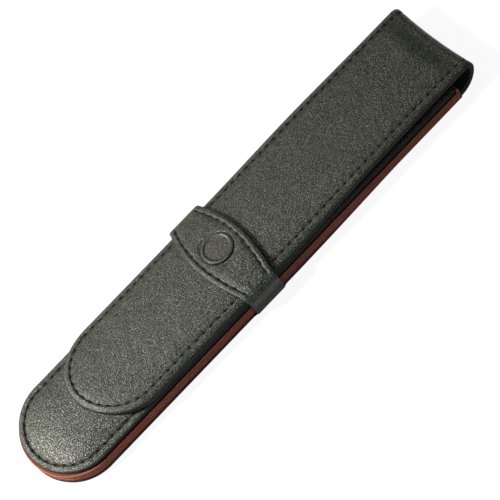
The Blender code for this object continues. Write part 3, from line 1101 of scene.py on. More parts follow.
    def mouth_lining(self) -> Piece:
        """The dark lining from the pocket's mouth up the inside of the fold.

        Returns:
            The new object.
        """
        start, end = self.strip.mouth + self.clearance, self.strip.bend_end
        half = self.strip.fold_half_width - self.fold_lining_inset
        columns = np.array([-1, -0.99, -0.9, -0.6, -0.3, 0, 0.3, 0.6, 0.9, 0.99, 1]) * half
        flat = np.array([[(x, along) for x in columns] for along in np.linspace(start, end, 34)])

        def faces(x: Places, along: Places, face: int) -> Places:
            """The lining's two faces, under the leather of the fold."""
            outer = between(self.lining_low, self.strip.fold_lining_depth, ease(along, start, end - start))
            return self.strip.back_point(x, along, outer + self.fold_lining * face)

        made = Bench.thicken(Bench.grid("fold_lining_dark", flat), faces)
        self.finishes.dark.on(made)
        self.bend(made)
        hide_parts("fold_lining", "mouth_lining")
        return made

    def makers(self) -> Makers:
        """The methods that make the pouch's pieces."""
        return (self.back, self.back_stitches, self.back_lining, self.front_lining, self.front,
                self.front_stitches, self.mouth_lining)


@dataclass
class Flap(Part):
    """The strip's upper part: the crease and the tongue-shaped flap with its lining."""

    skin: float = 1.15 * MM
    leather: float = 0.7 * MM
    turn: float = 1.2 * MM
    turn_step: float = 0.3 * MM
    crease_over: float = 5.0 * MM
    crease_round: float = 0.7 * MM
    crease_share: float = 0.48
    lining_depth: float = 1.2 * MM
    lining: float = 0.5 * MM
    lining_inset: float = 0.2 * MM
    cut_rim: float = 0.2 * MM
    under_round: float = 0.5 * MM
    under_fall: float = 0.4 * MM
    end_gap: float = 1.2 * MM
    border: TurnedEdge = TurnedEdge(*mm(1.3, 0.72, 0.16, 0.16))
    boards: ClassVar[tuple[str, ...]] = ("flap_stiffener",)

    @cached_property
    def outline(self) -> Outline:
        """The flap and the crease, from the tip of the tongue to where the crease begins."""
        end = self.strip.crease_y + self.strip.crease_end - self.strip.bend_end
        return Outline(self.strip.tongue_centre, end, self.strip.flap_half)

    def face(self, x: Places, along: Places, face: int = 0, sink: float = 0.0) -> Places:
        """Points of the leather's outer or inner face, or sunk under it; at the crease they meet the fold's.

        Args:
            x: Places across.
            along: Places along the panel.
            face: Which of the sheet's two faces, 0 or 1.
            sink: How far under that face the points lie.

        Returns:
            The points, as rows of three coordinates.
        """
        seam = self.outline.seam
        inset, run = self.outline.measure(x, along)
        turned = ease(along, self.strip.crease_y, self.strip.crease_end - self.strip.bend_end)
        fall = shoulder(inset, self.crease_round, self.skin * self.crease_share)
        if face == 0:
            crease = ease(along, self.strip.crease_y - self.crease_over, self.crease_over)
            flat = self.border.depth(inset, run, seam) + self.border.swell(inset, seam) * crease
            depth = between(flat, fall + seam.depth(inset, run), turned)
        else:
            inner = between(self.leather, self.skin, 1 - ramp(inset, self.turn, self.turn_step))
            under = shoulder(inset, self.under_round, self.under_fall)
            depth = between(inner - under, inner - fall, turned)
        return self.strip.flap_point(x, along, depth + sink)

    def bend(self, made: Piece) -> None:
        """Bakes a piece's placement into its mesh."""
        points = {"start": self.strip.crease_start_point, "end": self.strip.crease_end_point}
        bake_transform(made)

    def panel(self) -> Piece:
        """The flap's leather, with its turned border and stitch line.

        Returns:
            The new object.
        """
        insets = panel_insets(self.border.width, self.outline)
        made = Bench.panel("flap_skin", self.outline, insets, self.face)
        self.finishes.leather.on(made)
        self.bend(made)
        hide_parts("flap_leather")
        return made

    def stitches(self) -> Piece:
        """The stitches on the flap's outer face.

        Returns:
            The new object.
        """
        made = self.sewn("flap_stitches", self.outline, self.face, self.end_gap)
        self.bend(made)
        return made

    def lining_sheet(self) -> Piece:
        """The lining under the flap, whose cut edge shows as a thin line.

        Returns:
            The new object.
        """

        def faces(x: Places, along: Places, face: int) -> Places:
            """The lining's two faces, under the leather of the flap.

            Args:
                x: Places across.
                along: Places along the panel.
                face: Which of the sheet's two faces, 0 or 1.

            Returns:
                The points, as rows of three coordinates.
            """
            crease = ease(along, self.strip.crease_y, self.outline.end - self.strip.crease_y)
            outer = between(self.lining_depth, self.strip.fold_lining_depth, crease)
            return self.strip.flap_point(x, along, outer + self.lining * face)

        insets = [self.lining_inset + extra for extra in mm(0.0, 0.12, 0.26, 0.6)]
        insets += mm(1.5, 2.27, 3, 5, 8, 12)
        rim = self.lining_inset + self.cut_rim
        made = Bench.panel("flap_lining_dark", self.outline, insets, faces, 0.7 * MM, rim)
        self.finishes.dark.on(made)
        self.bend(made)
        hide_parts("flap_lining")
        return made

    def makers(self) -> Makers:
        """The methods that make the flap's pieces."""
        return self.panel, self.stitches, self.lining_sheet


@dataclass
class KeeperStrap(Part):
    """The strap across the pouch, which holds the flap, and the plain disc in its middle."""

    width: float = 17.1 * MM
    end_width: float = 10.8 * MM
    narrowed_at: float = 18.5 * MM
    barrel_power: float = 1.25
    seam_end: float = 16.4 * MM
    seam_fade: float = 1.8 * MM
    corner_radius: float = 1.6 * MM
    tuck_radius: float = 1.0 * MM
    tail_inset: float = 3.5 * MM
    tail_from: float = 4.5 * MM
    tail_over: float = 3.0 * MM
    lining_end: float = 3.6 * MM
    clearance: float = 0.15 * MM
    tail_top: float = 1.3 * MM
    flap_thickness: float = 1.7 * MM
    lining: float = 0.4 * MM
    skin: float = 0.7 * MM
    under_round: float = 0.45 * MM
    under_fall: float = 0.27 * MM
    row_step: float = 0.03
    thread_drop: float = 0.1 * MM
    disc_radius: float = 4.9 * MM
    disc_depth: float = 0.6 * MM
    disc_lift: float = 0.15 * MM
    disc_sides: int = 96
    disc_bevel: float = 0.06 * MM
    facing_up: float = 0.9
    recess_from: float = 4.85 * MM
    recess_wall: float = 0.3 * MM
    recess_depth: float = 0.34 * MM
    ring_radius: float = 5.4 * MM
    ring_width: float = 0.4 * MM
    ring_depth: float = 0.12 * MM
    fine_to: float = 5.6 * MM
    # Painted shade on the sides of the strap's tails: its strength, where it starts past the pouch's side and
    # how far it rises.
    painted_side_shade: float = 0.6
    painted_side_from: float = 1.2 * MM
    painted_side_over: float = 2.5 * MM
    border: TurnedEdge = TurnedEdge(*mm(0.8, 0.4, 0.14, 0.16, 0.3, 1.6))
    seam: SeamLine = SeamLine(inset=1.9 * MM)
    disc_rings: ClassVar[tuple[tuple[float, float], ...]] = (
        (0.16, 0.0), (0.22, 0.09), (0.24, 0.03), (0.24, -0.03), (0.22, -0.16), (0.18, -0.04), (0.5, 0.0),
        (1.2, 0.03), (1.0, 0.02),
    )

    @property
    def side(self) -> float:
        """Where the strap's inner face stands beside the pouch."""
        return self.strip.half_width + self.clearance

    @property
    def skin_offset(self) -> float:
        """How far the leather's inner face lies over the strap's."""
        return self.lining + self.clearance

    @cached_property
    def curve(self) -> float:
        """The strap's fall beside its middle, over the square of the distance from it."""
        return float(self.strip.flap_curve(np.array([self.strip.strap_y]))[0])

    @cached_property
    def inner_top(self) -> float:
        """The height of the strap's inner face in its middle."""
        crown = float(self.strip.crown(np.array([self.strip.strap_y]))[0])
        return self.strip.front_edge_top + crown + self.flap_thickness + self.clearance * 2

    def top(self, x: Places) -> Places:
        """The path over the flap, as rows of a place across, a height and a tilt."""
        return np.stack([x, self.inner_top - self.curve * x * x, np.arctan(2 * self.curve * x)], axis=1)

    @staticmethod
    def arc(x: float, z: float, radius: float, first: float, last: float, count: int) -> Places:
        """A round part of the path about a centre, past its first tilt."""
        tilts = np.linspace(first, last, count)[1:]
        return np.stack([x + radius * np.sin(tilts), z + radius * np.cos(tilts), tilts], axis=1)

    def path(self, tuck: float | None = None) -> Places:
        """Half the strap's path: places across, heights and tilts, from its middle down to its end.

        Args:
            tuck: The layer's offset from the inner face where it tucks in under the lining, or None for
                a layer that ends on the straight side.

        Returns:
            One row for each place.
        """
        lean = 0.0
        for _ in range(12):
            edge_x = self.side - self.corner_radius * (1 - math.sin(lean))
            lean = math.atan(2 * self.curve * edge_x)
        edge_x = self.side - self.corner_radius * (1 - math.sin(lean))
        edge_z = self.inner_top - self.curve * edge_x**2 - self.corner_radius * math.cos(lean)
        parts = [self.top(np.linspace(0.0, edge_x, 34)),
                 self.arc(self.side - self.corner_radius, edge_z, self.corner_radius, lean, math.pi / 2, 15)]
        bottom = self.lining_end if tuck is None else self.tail_top + self.tuck_radius
        heights = np.linspace(parts[-1][-1, 1], bottom, 8)[1:]
        upright = np.full_like(heights, math.pi / 2)
        parts.append(np.stack([np.full_like(heights, self.side), heights, upright], axis=1))
        if tuck is not None:
            centre, radius = self.side + tuck - self.tuck_radius, self.tuck_radius - tuck
            parts.append(self.arc(centre, bottom, radius, math.pi / 2, math.pi, 9))
            parts.append(np.array([[self.strip.half_width - self.tail_inset, self.tail_top + tuck, math.pi]]))
        return np.concatenate(parts)

    @staticmethod
    def lengths(half: Places) -> Places:
        """The distance along a half path up to each of its places."""
        steps = np.hypot(np.diff(half[:, 0]), np.diff(half[:, 1]))
        return np.concatenate([[0.0], np.cumsum(steps)])

    def width_at(self, run: Places) -> Places:
        """The strap's width at a distance along it from its middle."""
        share = np.minimum(run / self.narrowed_at, 1.0)
        return self.end_width + (self.width - self.end_width) * (1 - share * share) ** self.barrel_power

    def calm(self, run: Places) -> Places:
        """The share of the seam's relief that is left at a distance from the middle; the ends are plain."""
        return 1 - ease(np.abs(run), self.seam_end - self.seam_fade / 2, self.seam_fade)

    def layer(self, name: str, half: Places, across: list[float], faces: Offsets) -> Piece:
        """A layer of the strap, barrel-shaped across and bent along a half path and its mirror.

        Args:
            name: The object's name.
            half: The half path.
            across: The shares of half the strap's width at which it has points.
            faces: Gives the offset of face 0 or 1 for distances in from the edge, distances along the
                path, and places across the pouch.

        Returns:
            The new object.
        """
        places = range(1 - len(half), len(half))
        flat = np.array([[(share, float(place)) for share in across] for place in places])
        lengths = self.lengths(half)

        def solid(share: Places, place: Places, face: int) -> Places:
            """One face of the layer, bent along the path.

            Args:
                share: Shares of half the strap's width.
                place: Numbers of places on the path, below 0 on its mirror.
                face: Which of the sheet's two faces, 0 or 1.

            Returns:
                The points, as rows of three coordinates.
            """
            index = np.rint(np.abs(place)).astype(int)
            side = np.where(place < 0, -1.0, 1.0)
            run, (x, z, tilt) = lengths[index], half[index].T
            width = self.width_at(run)
            offset = faces((1 - np.abs(share)) * width / 2, run * side, share * width / 2, face)
            y = self.strip.strap_y + share * width / 2
            return np.stack([side * (x + offset * np.sin(tilt)), y, z + offset * np.cos(tilt)], axis=1)

        def masks(share: Places, place: Places) -> dict[str, Places]:
            """The mask that the finish reads.

            Args:
                share: Shares of half the strap's width.
                place: Numbers of places on the path, below 0 on its mirror.

            Returns:
                The mask of painted shade in the seam, on the edges and on the sides of the tails, by its name.
            """
            run = lengths[np.rint(np.abs(place)).astype(int)]
            inset = (1 - np.abs(share)) * self.width_at(run) / 2
            # Painted shade in the seam's groove and holes, on the edges and on the sides of the tails, which
            # also lose their gloss.
            seam = self.seam.shade(inset, run) * self.calm(run)
            side = self.painted_side_shade * ease(run, self.side + self.painted_side_from, self.painted_side_over)
            return {"seam": np.maximum(np.maximum(seam, painted_edge_shade(inset)), side)}

        return Bench.thicken(Bench.grid(name, flat), solid, masks)

    def skin_offsets(self, inset: Places, run: Places, y: Places, face: int) -> Places:
        """The offsets of the leather's inner or outer face, with the recess for the disc.

        Args:
            inset: Distances in from the edge.
            run: Distances along the strap from its middle.
            y: Places across the strap from its middle.
            face: Which of the sheet's two faces, 0 or 1.

        Returns:
            The offsets from the strap's inner face.
        """
        fade = 1 - ramp(np.abs(run), self.side + self.tail_from, self.tail_over)
        if face == 0:
            return self.skin_offset + shoulder(inset, self.under_round, self.under_fall) * fade
        plain = shoulder(inset, self.border.width, self.border.height)
        fall = between(plain, self.border.depth(inset, run, self.seam), self.calm(run))
        away = np.hypot(run, y)
        recess = self.recess_depth * (1 - ease(away, self.recess_from, self.recess_wall))
        recess += self.ring_depth * bell(away - self.ring_radius, self.ring_width)
        return self.skin_offset + self.skin - fall * fade - recess

    def panel(self) -> Piece:
        """The strap's leather, whose tails tuck in between the back and the lining.

        Returns:
            The new object.
        """
        half = self.path(self.skin_offset)
        crown = self.top(np.linspace(0.0, self.fine_to, 23))
        half = np.concatenate([crown, half[half[:, 0] > self.fine_to + self.clearance]])
        insets = edge_insets(self.border.width / (self.width / 2))
        insets += list(np.linspace(insets[-1] + self.row_step, 1.0, 21))
        across = [inset - 1 for inset in insets] + [1 - inset for inset in reversed(insets[:-1])]
        made = self.layer("strap_skin", half, across, self.skin_offsets)
        self.finishes.leather.on(made)
        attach(made, Body.POUCH.value)
        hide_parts("strap_leather")
        return made

    def lining_sheet(self) -> Piece:
        """The strap's lining, from side to side over the flap.

        Returns:
            The new object.
        """
        across = [-0.97, -0.95, -0.7, -0.35, 0.0, 0.35, 0.7, 0.95, 0.97]

        def faces(inset: Places, run: Places, y: Places, face: int) -> Places:
            """The offsets of the lining's two faces."""
            return np.full_like(inset, self.lining * face)

        made = self.layer("strap_lining_dark", self.path(), across, faces)
        self.finishes.dark.on(made)
        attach(made, Body.POUCH.value)
        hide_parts("strap_lining")
        return made

    def stitches(self) -> Piece:
        """The stitches along the strap's two long edges.

        Returns:
            The new object.
        """
        half, thread = self.path(), Thread()
        lengths = self.lengths(half)
        lift = self.skin_offset + self.skin - self.seam.groove_depth - self.thread_drop

        def spot(run: float, edge: int, shift: float = 0.0) -> Places:
            """A place under the strap's outer face, at a distance in from one long edge.

            Args:
                run: A distance along the strap from its middle.
                edge: 1 or -1 for one of the two long edges.
                shift: How much further in than the stitch line.

            Returns:
                The place.
            """
            x, z, tilt = (np.interp(abs(run), lengths, half[:, column]) for column in range(3))
            reach = float(self.width_at(np.array([abs(run)]))[0]) / 2 - self.seam.inset - shift
            side = -1.0 if run < 0 else 1.0
            return np.array([side * (x + lift * math.sin(tilt)), self.strip.strap_y + edge * reach,
                             z + lift * math.cos(tilt)])

        seats, last, probe = [], int(self.seam_end / self.seam.pitch), thread.probe
        for edge in (-1, 1):
            for run in (number * self.seam.pitch for number in range(-last, last + 1)):
                ahead = spot(run + probe, edge) - spot(run - probe, edge)
                across = (spot(run, edge, -probe) - spot(run, edge, probe)) * edge
                seats.append((spot(run, edge), ahead, np.cross(ahead, across)))
        made = thread.lay("strap_stitches", seats)
        self.finishes.thread.on(made)
        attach(made, Body.POUCH.value)
        return made

    def disc(self) -> Piece:
        """A plain round disc with a rounded rim, pressed into the strap.

        Returns:
            The new object.
        """
        outer_top = self.inner_top + self.skin_offset + self.skin
        middle = (0.0, self.strip.strap_y, outer_top - self.curve * self.disc_radius**2 + self.disc_lift)
        Bench.clear()
        bpy.ops.mesh.primitive_cylinder_add(
            vertices=self.disc_sides, radius=self.disc_radius, depth=self.disc_depth, location=middle
        )
        made = Bench.named("strap_disc_plain")
        with Bench.editing("DESELECT"):
            bpy.ops.mesh.select_mode(type="FACE")
        for polygon in made.data.polygons:
            polygon.select = polygon.normal.z > self.facing_up
        with Bench.editing(None):
            for thickness, depth in self.disc_rings:
                bpy.ops.mesh.inset(thickness=thickness * MM, depth=depth * MM)
            bpy.ops.mesh.poke()
        bpy.ops.object.transform_apply(location=True, rotation=True, scale=True)
        Bench.modify(
            made, "BEVEL", width=self.disc_bevel, segments=2, limit_method="ANGLE", angle_limit=Bench.SHARP
        )
        Bench.modify(made, "SUBSURF", levels=1, render_levels=1)
        Bench.face_out(made)
        self.finishes.disc.on(made)
        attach(made, Body.POUCH.value)
        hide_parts("strap_disc")
        return made

    def makers(self) -> Makers:
        """The methods that make the strap's pieces."""
        return self.panel, self.lining_sheet, self.stitches, self.disc


class NodeDesk:
    """A short way to add, set and join the nodes of one tree."""

    MIX_INPUTS = (0, 6, 7)
    MIX_COLOUR = 2

    def __init__(self, tree: bpy.types.NodeTree) -> None:
        """Keeps the tree."""
        self.tree = tree

    def feed(self, node: bpy.types.Node, inputs: Inputs) -> None:
        """Sets a node's inputs to values, or joins them to sockets or to the first output of nodes.

        Args:
            node: The node.
            inputs: What goes into its inputs, by name or number.
        """
        for key, value in inputs.items():
            value = value.outputs[0] if isinstance(value, bpy.types.Node) else value
            if isinstance(value, Socket):
                self.tree.links.new(value, node.inputs[key])
            else:
                node.inputs[key].default_value = value

    def node(self, kind: str, inputs: Inputs | None = None, **settings: object) -> bpy.types.Node:
        """Adds a node with its settings and its inputs.

        Args:
            kind: The node's type.
            inputs: What goes into its inputs, by name or number.
            settings: Its settings, by name.

        Returns:
            The new node.
        """
        made = self.tree.nodes.new("ShaderNode" + kind)
        for key, value in settings.items():
            setattr(made, key, value)
        self.feed(made, inputs or {})
        return made

    def math(self, kind: str, first: object, second: object) -> Socket:
        """The result of a reckoning with two values, each a number or a socket."""
        return self.node("Math", {0: first, 1: second}, operation=kind).outputs[0]

    def times(self, first: object, second: object) -> Socket:
        """The product of two values."""
        return self.math("MULTIPLY", first, second)

    def left(self, share: object, whole: object) -> Socket:
        """What is left of a whole once a share of it is gone."""
        return self.times(self.math("SUBTRACT", 1.0, share), whole)

    def fit(self, value: Socket, low: float, high: float) -> Socket:
        """A value carried smoothly from the range low to high to the range 0 to 1."""
        ends = {"Value": value, "From Min": low, "From Max": high, "To Min": 0.0, "To Max": 1.0}
        return self.node("MapRange", ends, interpolation_type="SMOOTHSTEP").outputs["Result"]

    def mix(self, factor: Socket, first: object, second: object) -> Socket:
        """A mix of two colours, each a colour or a socket.

        Args:
            factor: The share of the second colour.
            first: The first colour.
            second: The second colour.

        Returns:
            The mixed colour.
        """
        colours = [(*value, 1.0) if isinstance(value, tuple) else value for value in (first, second)]
        made = self.node("Mix", dict(zip(self.MIX_INPUTS, (factor, *colours))), data_type="RGBA")
        return made.outputs[self.MIX_COLOUR]

    def mask(self, name: str) -> Socket:
        """A mask that the piece's mesh keeps under a name."""
        return self.node("Attribute", attribute_name=name).outputs["Fac"]

    def bump(self, height: Socket, distance: float, **more: object) -> bpy.types.Node:
        """A bump of a full height, with its strength or the bump under it if they are given."""
        return self.node("Bump", {"Strength": 1.0, "Distance": distance, "Height": height, **more})


def new_material(name: str) -> tuple[bpy.types.Material, NodeDesk, bpy.types.Node]:
    """A new material, the desk for its nodes, and its shader.

    Args:
        name: Its name.

    Returns:
        The material, the desk and the shader.
    """
    made = bpy.data.materials.new(name)
    made.use_nodes = True
    return made, NodeDesk(made.node_tree), made.node_tree.nodes["Principled BSDF"]


@dataclass(frozen=True)
class Grain:
    """The pebbled grain of leather: cells of two sizes, pores, and patches where it is worn."""

    warp_scale: float = 0.5
    warp_detail: float = 2.0
    crease_width: float = 0.32
    fine_scale: float = 2.1
    fine_crease_width: float = 0.3
    cell_share: float = 0.65
    fine_share: float = 0.35
    pore_scale: float = 1.3
    pore_roughness: float = 0.7
    patch_scale: float = 55.0
    patch_roughness: float = 0.55
    patch_range: tuple[float, float] = (0.3, 0.7)
    detail: float = 3.0

    def group(self) -> bpy.types.NodeTree:
        """The grain as a group of nodes.

        Returns:
            A group with the inputs Vector, Cell, Warp and Pore, and the outputs Height, Crease and Patch.
        """
        tree = bpy.data.node_groups.new("leather_grain", "ShaderNodeTree")
        tree.interface.new_socket(name="Vector", in_out="INPUT", socket_type="NodeSocketVector")
        for way, names in (("INPUT", ("Cell", "Warp", "Pore")), ("OUTPUT", ("Height", "Crease", "Patch"))):
            for name in names:
                tree.interface.new_socket(name=name, in_out=way, socket_type="NodeSocketFloat")
        desk = NodeDesk(tree)
        given, out = tree.nodes.new("NodeGroupInput").outputs, tree.nodes.new("NodeGroupOutput")
        cell, place = desk.math("DIVIDE", 1.0, given["Cell"]), given["Vector"]

        waves = {"Vector": place, "Scale": desk.times(cell, self.warp_scale), "Detail": self.warp_detail}
        reach = desk.times(given["Warp"], given["Cell"])
        push = {0: desk.node("TexNoise", waves).outputs["Color"], "Scale": reach}
        pushed = desk.node("VectorMath", push, operation="SCALE")
        moved = desk.node("VectorMath", {0: place, 1: pushed}, operation="ADD")

        def cells(share: float, width: float) -> Socket:
            """Rounded cells, as many times finer as the share says, with creases of a width between them.

            Args:
                share: How many times finer the cells are.
                width: The width of the creases.

            Returns:
                0 in the creases, rising to 1 on the cells.
            """
            inputs = {"Vector": moved, "Scale": desk.times(cell, share), "Randomness": 1.0}
            edges = desk.node("TexVoronoi", feature="DISTANCE_TO_EDGE")
            desk.feed(edges, inputs)
            return desk.fit(edges.outputs["Distance"], 0.0, width)

        dome, fine = cells(1.0, self.crease_width), cells(self.fine_scale, self.fine_crease_width)
        pores = {"Vector": place, "Scale": desk.times(cell, self.pore_scale), "Detail": self.detail}
        pore = desk.node("TexNoise", {**pores, "Roughness": self.pore_roughness}).outputs["Fac"]
        speck = desk.times(desk.math("SUBTRACT", pore, 0.5), given["Pore"])
        domes = desk.math("ADD", desk.times(dome, self.cell_share), desk.times(fine, self.fine_share))
        patches = {"Vector": place, "Scale": self.patch_scale, "Detail": self.detail}
        patch = desk.node("TexNoise", {**patches, "Roughness": self.patch_roughness}).outputs["Fac"]
        desk.feed(out, {
            "Height": desk.math("ADD", domes, speck),
            "Crease": desk.math("SUBTRACT", 1.0, dome),
            "Patch": desk.fit(patch, *self.patch_range),
        })
        return tree


@dataclass(frozen=True)
class LeatherFinish:
    """A dyed leather: its colours, with the painted shade of its seams and edges, the size and depth of its
    grain, and its gloss.
    """

    name: str
    dye: Colour
    crease: Colour
    worn: Colour
    cell: float = 0.6 * MM
    depth: float = 0.105 * MM
    warp: float = 1.5
    pore: float = 1.1
    sag: float = 0.2 * MM
    roughness: float = 0.32
    rough_spread: float = 0.12
    specular: float = 0.3
    coat: float = 0.42
    coat_roughness: float = 0.3
    coat_depth_share: float = 0.6
    crease_shade: float = 0.85
    crease_matt: float = 0.8
    crease_bare: float = 0.5
    wear_range: tuple[float, float] = (0.75, 1.2)
    wear_share: float = 0.6
    painted_shade_share: float = 0.9
    # How far the seam mask darkens the colour towards the painted shade colour below.
    seam_rough: float = 0.3
    cut: Colour = (0.16, 0.125, 0.085)
    # The colour of the painted shade that the seam mask lays in the stitch groove and holes, on the outermost
    # edges and on the strap's tails.
    seam: Colour = (0.002, 0.002, 0.002)

    def material(self, grain: bpy.types.NodeTree) -> bpy.types.Material:
        """The finish as a material.

        Args:
            grain: The shared grain group.

        Returns:
            The new material.
        """
        made, desk, shader = new_material(self.name)
        grained = {"Vector": desk.node("TexCoord").outputs["Object"], "Cell": self.cell, "Warp": self.warp}
        pebbles = desk.node("Group", node_tree=grain)
        desk.feed(pebbles, {**grained, "Pore": self.pore})
        height, crease, patch = (pebbles.outputs[name] for name in ("Height", "Crease", "Patch"))
        # The seam mask: painted shade in the stitch groove and holes, on the outermost edges and on the sides
        # of the strap's tails.
        seam = desk.mask("seam")

        colour = desk.mix(desk.times(crease, self.crease_shade), self.dye, self.crease)
        wear = desk.times(patch, desk.fit(height, *self.wear_range))
        colour = desk.mix(desk.times(wear, self.wear_share), colour, self.worn)
        colour = desk.mix(desk.times(seam, self.painted_shade_share), colour, self.seam)
        spread = desk.times(crease, self.rough_spread)
        rough = desk.math("ADD", spread, desk.times(patch, self.rough_spread / 2))
        rough = desk.math("ADD", desk.math("ADD", rough, self.roughness), desk.times(seam, self.seam_rough))
        matt = desk.math("MAXIMUM", seam, desk.times(crease, self.crease_matt))
        worn_off = desk.math("MAXIMUM", seam, desk.times(crease, self.crease_bare))
        soft = desk.bump(patch, self.sag)
        desk.feed(shader, {
            "Base Color": desk.mix(desk.mask("rim"), colour, self.cut),
            "Roughness": rough,
            "Specular IOR Level": desk.left(matt, self.specular),
            "Normal": desk.bump(height, self.depth, Normal=soft),
            "Coat Weight": desk.left(worn_off, self.coat),
            "Coat Roughness": self.coat_roughness,
            "Coat Normal": desk.bump(height, self.depth * self.coat_depth_share, Normal=soft),
        })
        return made


@dataclass(frozen=True)
class ThreadFinish:
    """Waxed thread, with its twist along each stitch."""

    name: str = "waxed_thread"
    dye: Colour = (0.009, 0.009, 0.008)
    ridge: Colour = (0.024, 0.023, 0.02)
    roughness: float = 0.45
    specular: float = 0.4
    twists: float = 900.0
    unevenness: float = 1.5
    depth: float = 0.03 * MM
    strength: float = 0.6

    def material(self) -> bpy.types.Material:
        """The finish as a material.

        Returns:
            The new material.
        """
        made, desk, shader = new_material(self.name)
        where = {"Vector": desk.node("TexCoord").outputs["Object"], "Scale": self.twists}
        bands = desk.node("TexWave", where, wave_type="BANDS", bands_direction="DIAGONAL")
        desk.feed(bands, {"Distortion": self.unevenness})
        twist = bands.outputs["Fac"]
        desk.feed(shader, {
            "Base Color": desk.mix(twist, self.dye, self.ridge),
            "Roughness": self.roughness,
            "Specular IOR Level": self.specular,
            "Normal": desk.bump(twist, self.depth, Strength=self.strength),
        })
        return made


def finishes() -> Finishes:
    """Every finish of the case, with one grain for all its leathers.

    Returns:
        The finishes, by their use.
    """
    grain = Grain().group()

    def leather(slot: Slot, *given: str | Colour, **values: float | Colour) -> Finish:
        """A leather made with the shared grain."""
        return Finish(LeatherFinish(*given, **values).material(grain), slot)

    return Finishes(
        leather=leather(Slot.LEATHER, "black_grained_leather",
                        (0.017, 0.019, 0.013), (0.004, 0.005, 0.003), (0.036, 0.038, 0.028)),
        disc=leather(Slot.LEATHER, "black_pressed_leather",
                     (0.015, 0.015, 0.012), (0.008, 0.008, 0.007), (0.03, 0.03, 0.025),
                     depth=0.05 * MM, sag=0.1 * MM, roughness=0.4, coat=0.3),
        dark=leather(Slot.DARK_LINING, "dark_lining_leather",
                     (0.02, 0.019, 0.017), (0.012, 0.012, 0.011), (0.05, 0.045, 0.038),
                     cell=0.3 * MM, depth=0.015 * MM, roughness=0.6, specular=0.16, coat=0.0),
        red=leather(Slot.RED_LINING, "red_lining_leather",
                    (0.105, 0.016, 0.012), (0.055, 0.009, 0.007), (0.14, 0.032, 0.022),
                    cell=0.35 * MM, depth=0.03 * MM, roughness=0.6, specular=0.2, coat=0.0,
                    cut=(0.15, 0.08, 0.05)),
        board=leather(Slot.BOARD, "pressed_board",
                      (0.22, 0.17, 0.12), (0.14, 0.1, 0.07), (0.3, 0.24, 0.18),
                      cell=0.5 * MM, depth=0.03 * MM, roughness=0.8, coat=0.0),
        thread=Finish(ThreadFinish().material(), Slot.LEATHER),
    )


@dataclass(frozen=True)
class Lamp:
    """A soft round lamp that stands at a spot and shines at the pouch."""

    name: str
    spot: tuple[float, float, float]
    size: float
    power: float
    colour: Colour

    def hang(self) -> None:
        """Puts the lamp in the scene."""
        data = bpy.data.lights.new(self.name, "AREA")
        data.shape, data.size, data.energy, data.color = "DISK", self.size, self.power, self.colour
        made = bpy.data.objects.new(self.name, data)
        bpy.context.collection.objects.link(made)
        place = Vector(self.spot)
        made.matrix_world = Matrix.Translation(place) @ place.to_track_quat("Z", "Y").to_matrix().to_4x4()


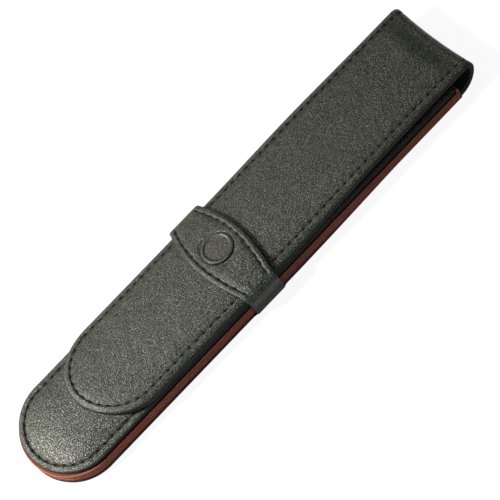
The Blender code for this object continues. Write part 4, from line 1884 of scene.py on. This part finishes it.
@dataclass
class Studio:
    """The camera, the pale floor and the soft lights."""

    distance: float = 0.7
    tilt_x: float = math.radians(35.53)
    tilt_y: float = math.radians(4.94)
    roll: float = math.radians(43.93)
    pixels_per_metre: float = 3601.0
    centre: tuple[float, float] = (243.5, 256.7)
    picture: float = 500.0
    floor_size: float = 8.0
    floor_gap: float = 0.02 * MM
    floor_glow: float = 0.92
    floor_colour: Colour = (0.86, 0.86, 0.85)
    floor_roughness: float = 0.9
    floor_specular: float = 0.1
    sky_colour: Colour = (0.97, 0.98, 0.96)
    sky_level: float = 0.15
    clip: tuple[float, float] = (0.01, 10.0)
    lamps: tuple[Lamp, ...] = (
        Lamp("key", (-0.12, -0.28, 0.28), 0.1, 7.5, (1.0, 0.985, 0.9)),
        Lamp("sheen", (-0.28, -0.03, 0.36), 0.08, 0.85, (1.0, 0.99, 0.92)),
        Lamp("side", (0.8, 0.0, 0.4), 0.25, 1.4, (0.72, 0.86, 1.0)),
    )

    def camera(self) -> None:
        """Sets the camera at the photograph's viewing angle."""
        back = Vector((math.tan(self.tilt_x), -math.tan(self.tilt_y), 1.0)).normalized()
        right = Vector((0.0, 1.0, 0.0)).cross(back).normalized()
        up = back.cross(right)
        turned = right * math.cos(self.roll) + up * math.sin(self.roll)
        upright = up * math.cos(self.roll) - right * math.sin(self.roll)
        data = bpy.data.cameras.new("camera")
        data.lens = data.sensor_width * self.pixels_per_metre * self.distance / self.picture
        data.shift_x = (self.picture / 2 - self.centre[0]) / self.picture
        data.shift_y = (self.centre[1] - self.picture / 2) / self.picture
        data.clip_start, data.clip_end = self.clip
        made = bpy.data.objects.new("camera", data)
        bpy.context.collection.objects.link(made)
        axes = Matrix((turned, upright, back)).transposed().to_4x4()
        made.matrix_world = Matrix.Translation(back * self.distance) @ axes
        bpy.context.scene.camera = made

    def floor(self) -> None:
        """A plain pale floor that keeps the pouch's shadow, and is clear from below."""
        Bench.clear()
        bpy.ops.mesh.primitive_plane_add(size=self.floor_size, location=(0.0, 0.0, -self.floor_gap))
        made = Bench.named("floor")
        material, desk, shader = new_material("pale_floor")
        pale = {"Base Color": (*self.floor_colour, 1.0), "Roughness": self.floor_roughness}
        desk.feed(shader, {**pale, "Specular IOR Level": self.floor_specular})
        glow = desk.node("Emission", {"Color": WHITE, "Strength": 1.0})
        rays = desk.node("LightPath").outputs
        seen = desk.math("ADD", rays["Is Camera Ray"], rays["Is Glossy Ray"])
        seen = desk.math("MINIMUM", desk.math("ADD", seen, rays["Is Transmission Ray"]), 1.0)
        above = desk.node("MixShader", {0: desk.times(seen, self.floor_glow), 1: shader, 2: glow})
        below = desk.node("NewGeometry").outputs["Backfacing"]
        whole = desk.node("MixShader", {0: below, 1: above, 2: desk.node("BsdfTransparent")})
        desk.feed(material.node_tree.nodes["Material Output"], {"Surface": whole})
        made.data.materials.append(material)

    def sky(self) -> None:
        """An even sky at a plain level, which the camera sees as white."""
        world = bpy.data.worlds.new("even_sky")
        world.use_nodes = True
        desk = NodeDesk(world.node_tree)
        sky = world.node_tree.nodes["Background"]
        desk.feed(sky, {"Color": (*self.sky_colour, 1.0), "Strength": self.sky_level})
        white = desk.node("Background", {"Color": WHITE, "Strength": 1.0})
        seen = desk.node("LightPath").outputs["Is Camera Ray"]
        whole = desk.node("MixShader", {0: seen, 1: sky, 2: white})
        desk.feed(world.node_tree.nodes["World Output"], {"Surface": whole})
        bpy.context.scene.world = world

    def build(self) -> None:
        """Sets up the whole studio."""
        bpy.context.scene.view_settings.view_transform = "Standard"
        self.camera()
        self.floor()
        for lamp in self.lamps:
            lamp.hang()
        self.sky()


def main() -> None:
    """Builds the studio, then each part of the case in order."""
    logging.basicConfig(level=logging.INFO, format="%(name)s %(message)s")
    Studio().build()
    strip, dress = Strip(), finishes()
    for part in (Pouch, Flap, KeeperStrap):
        part(strip, dress).build()


if __name__ == "__main__":
    main()
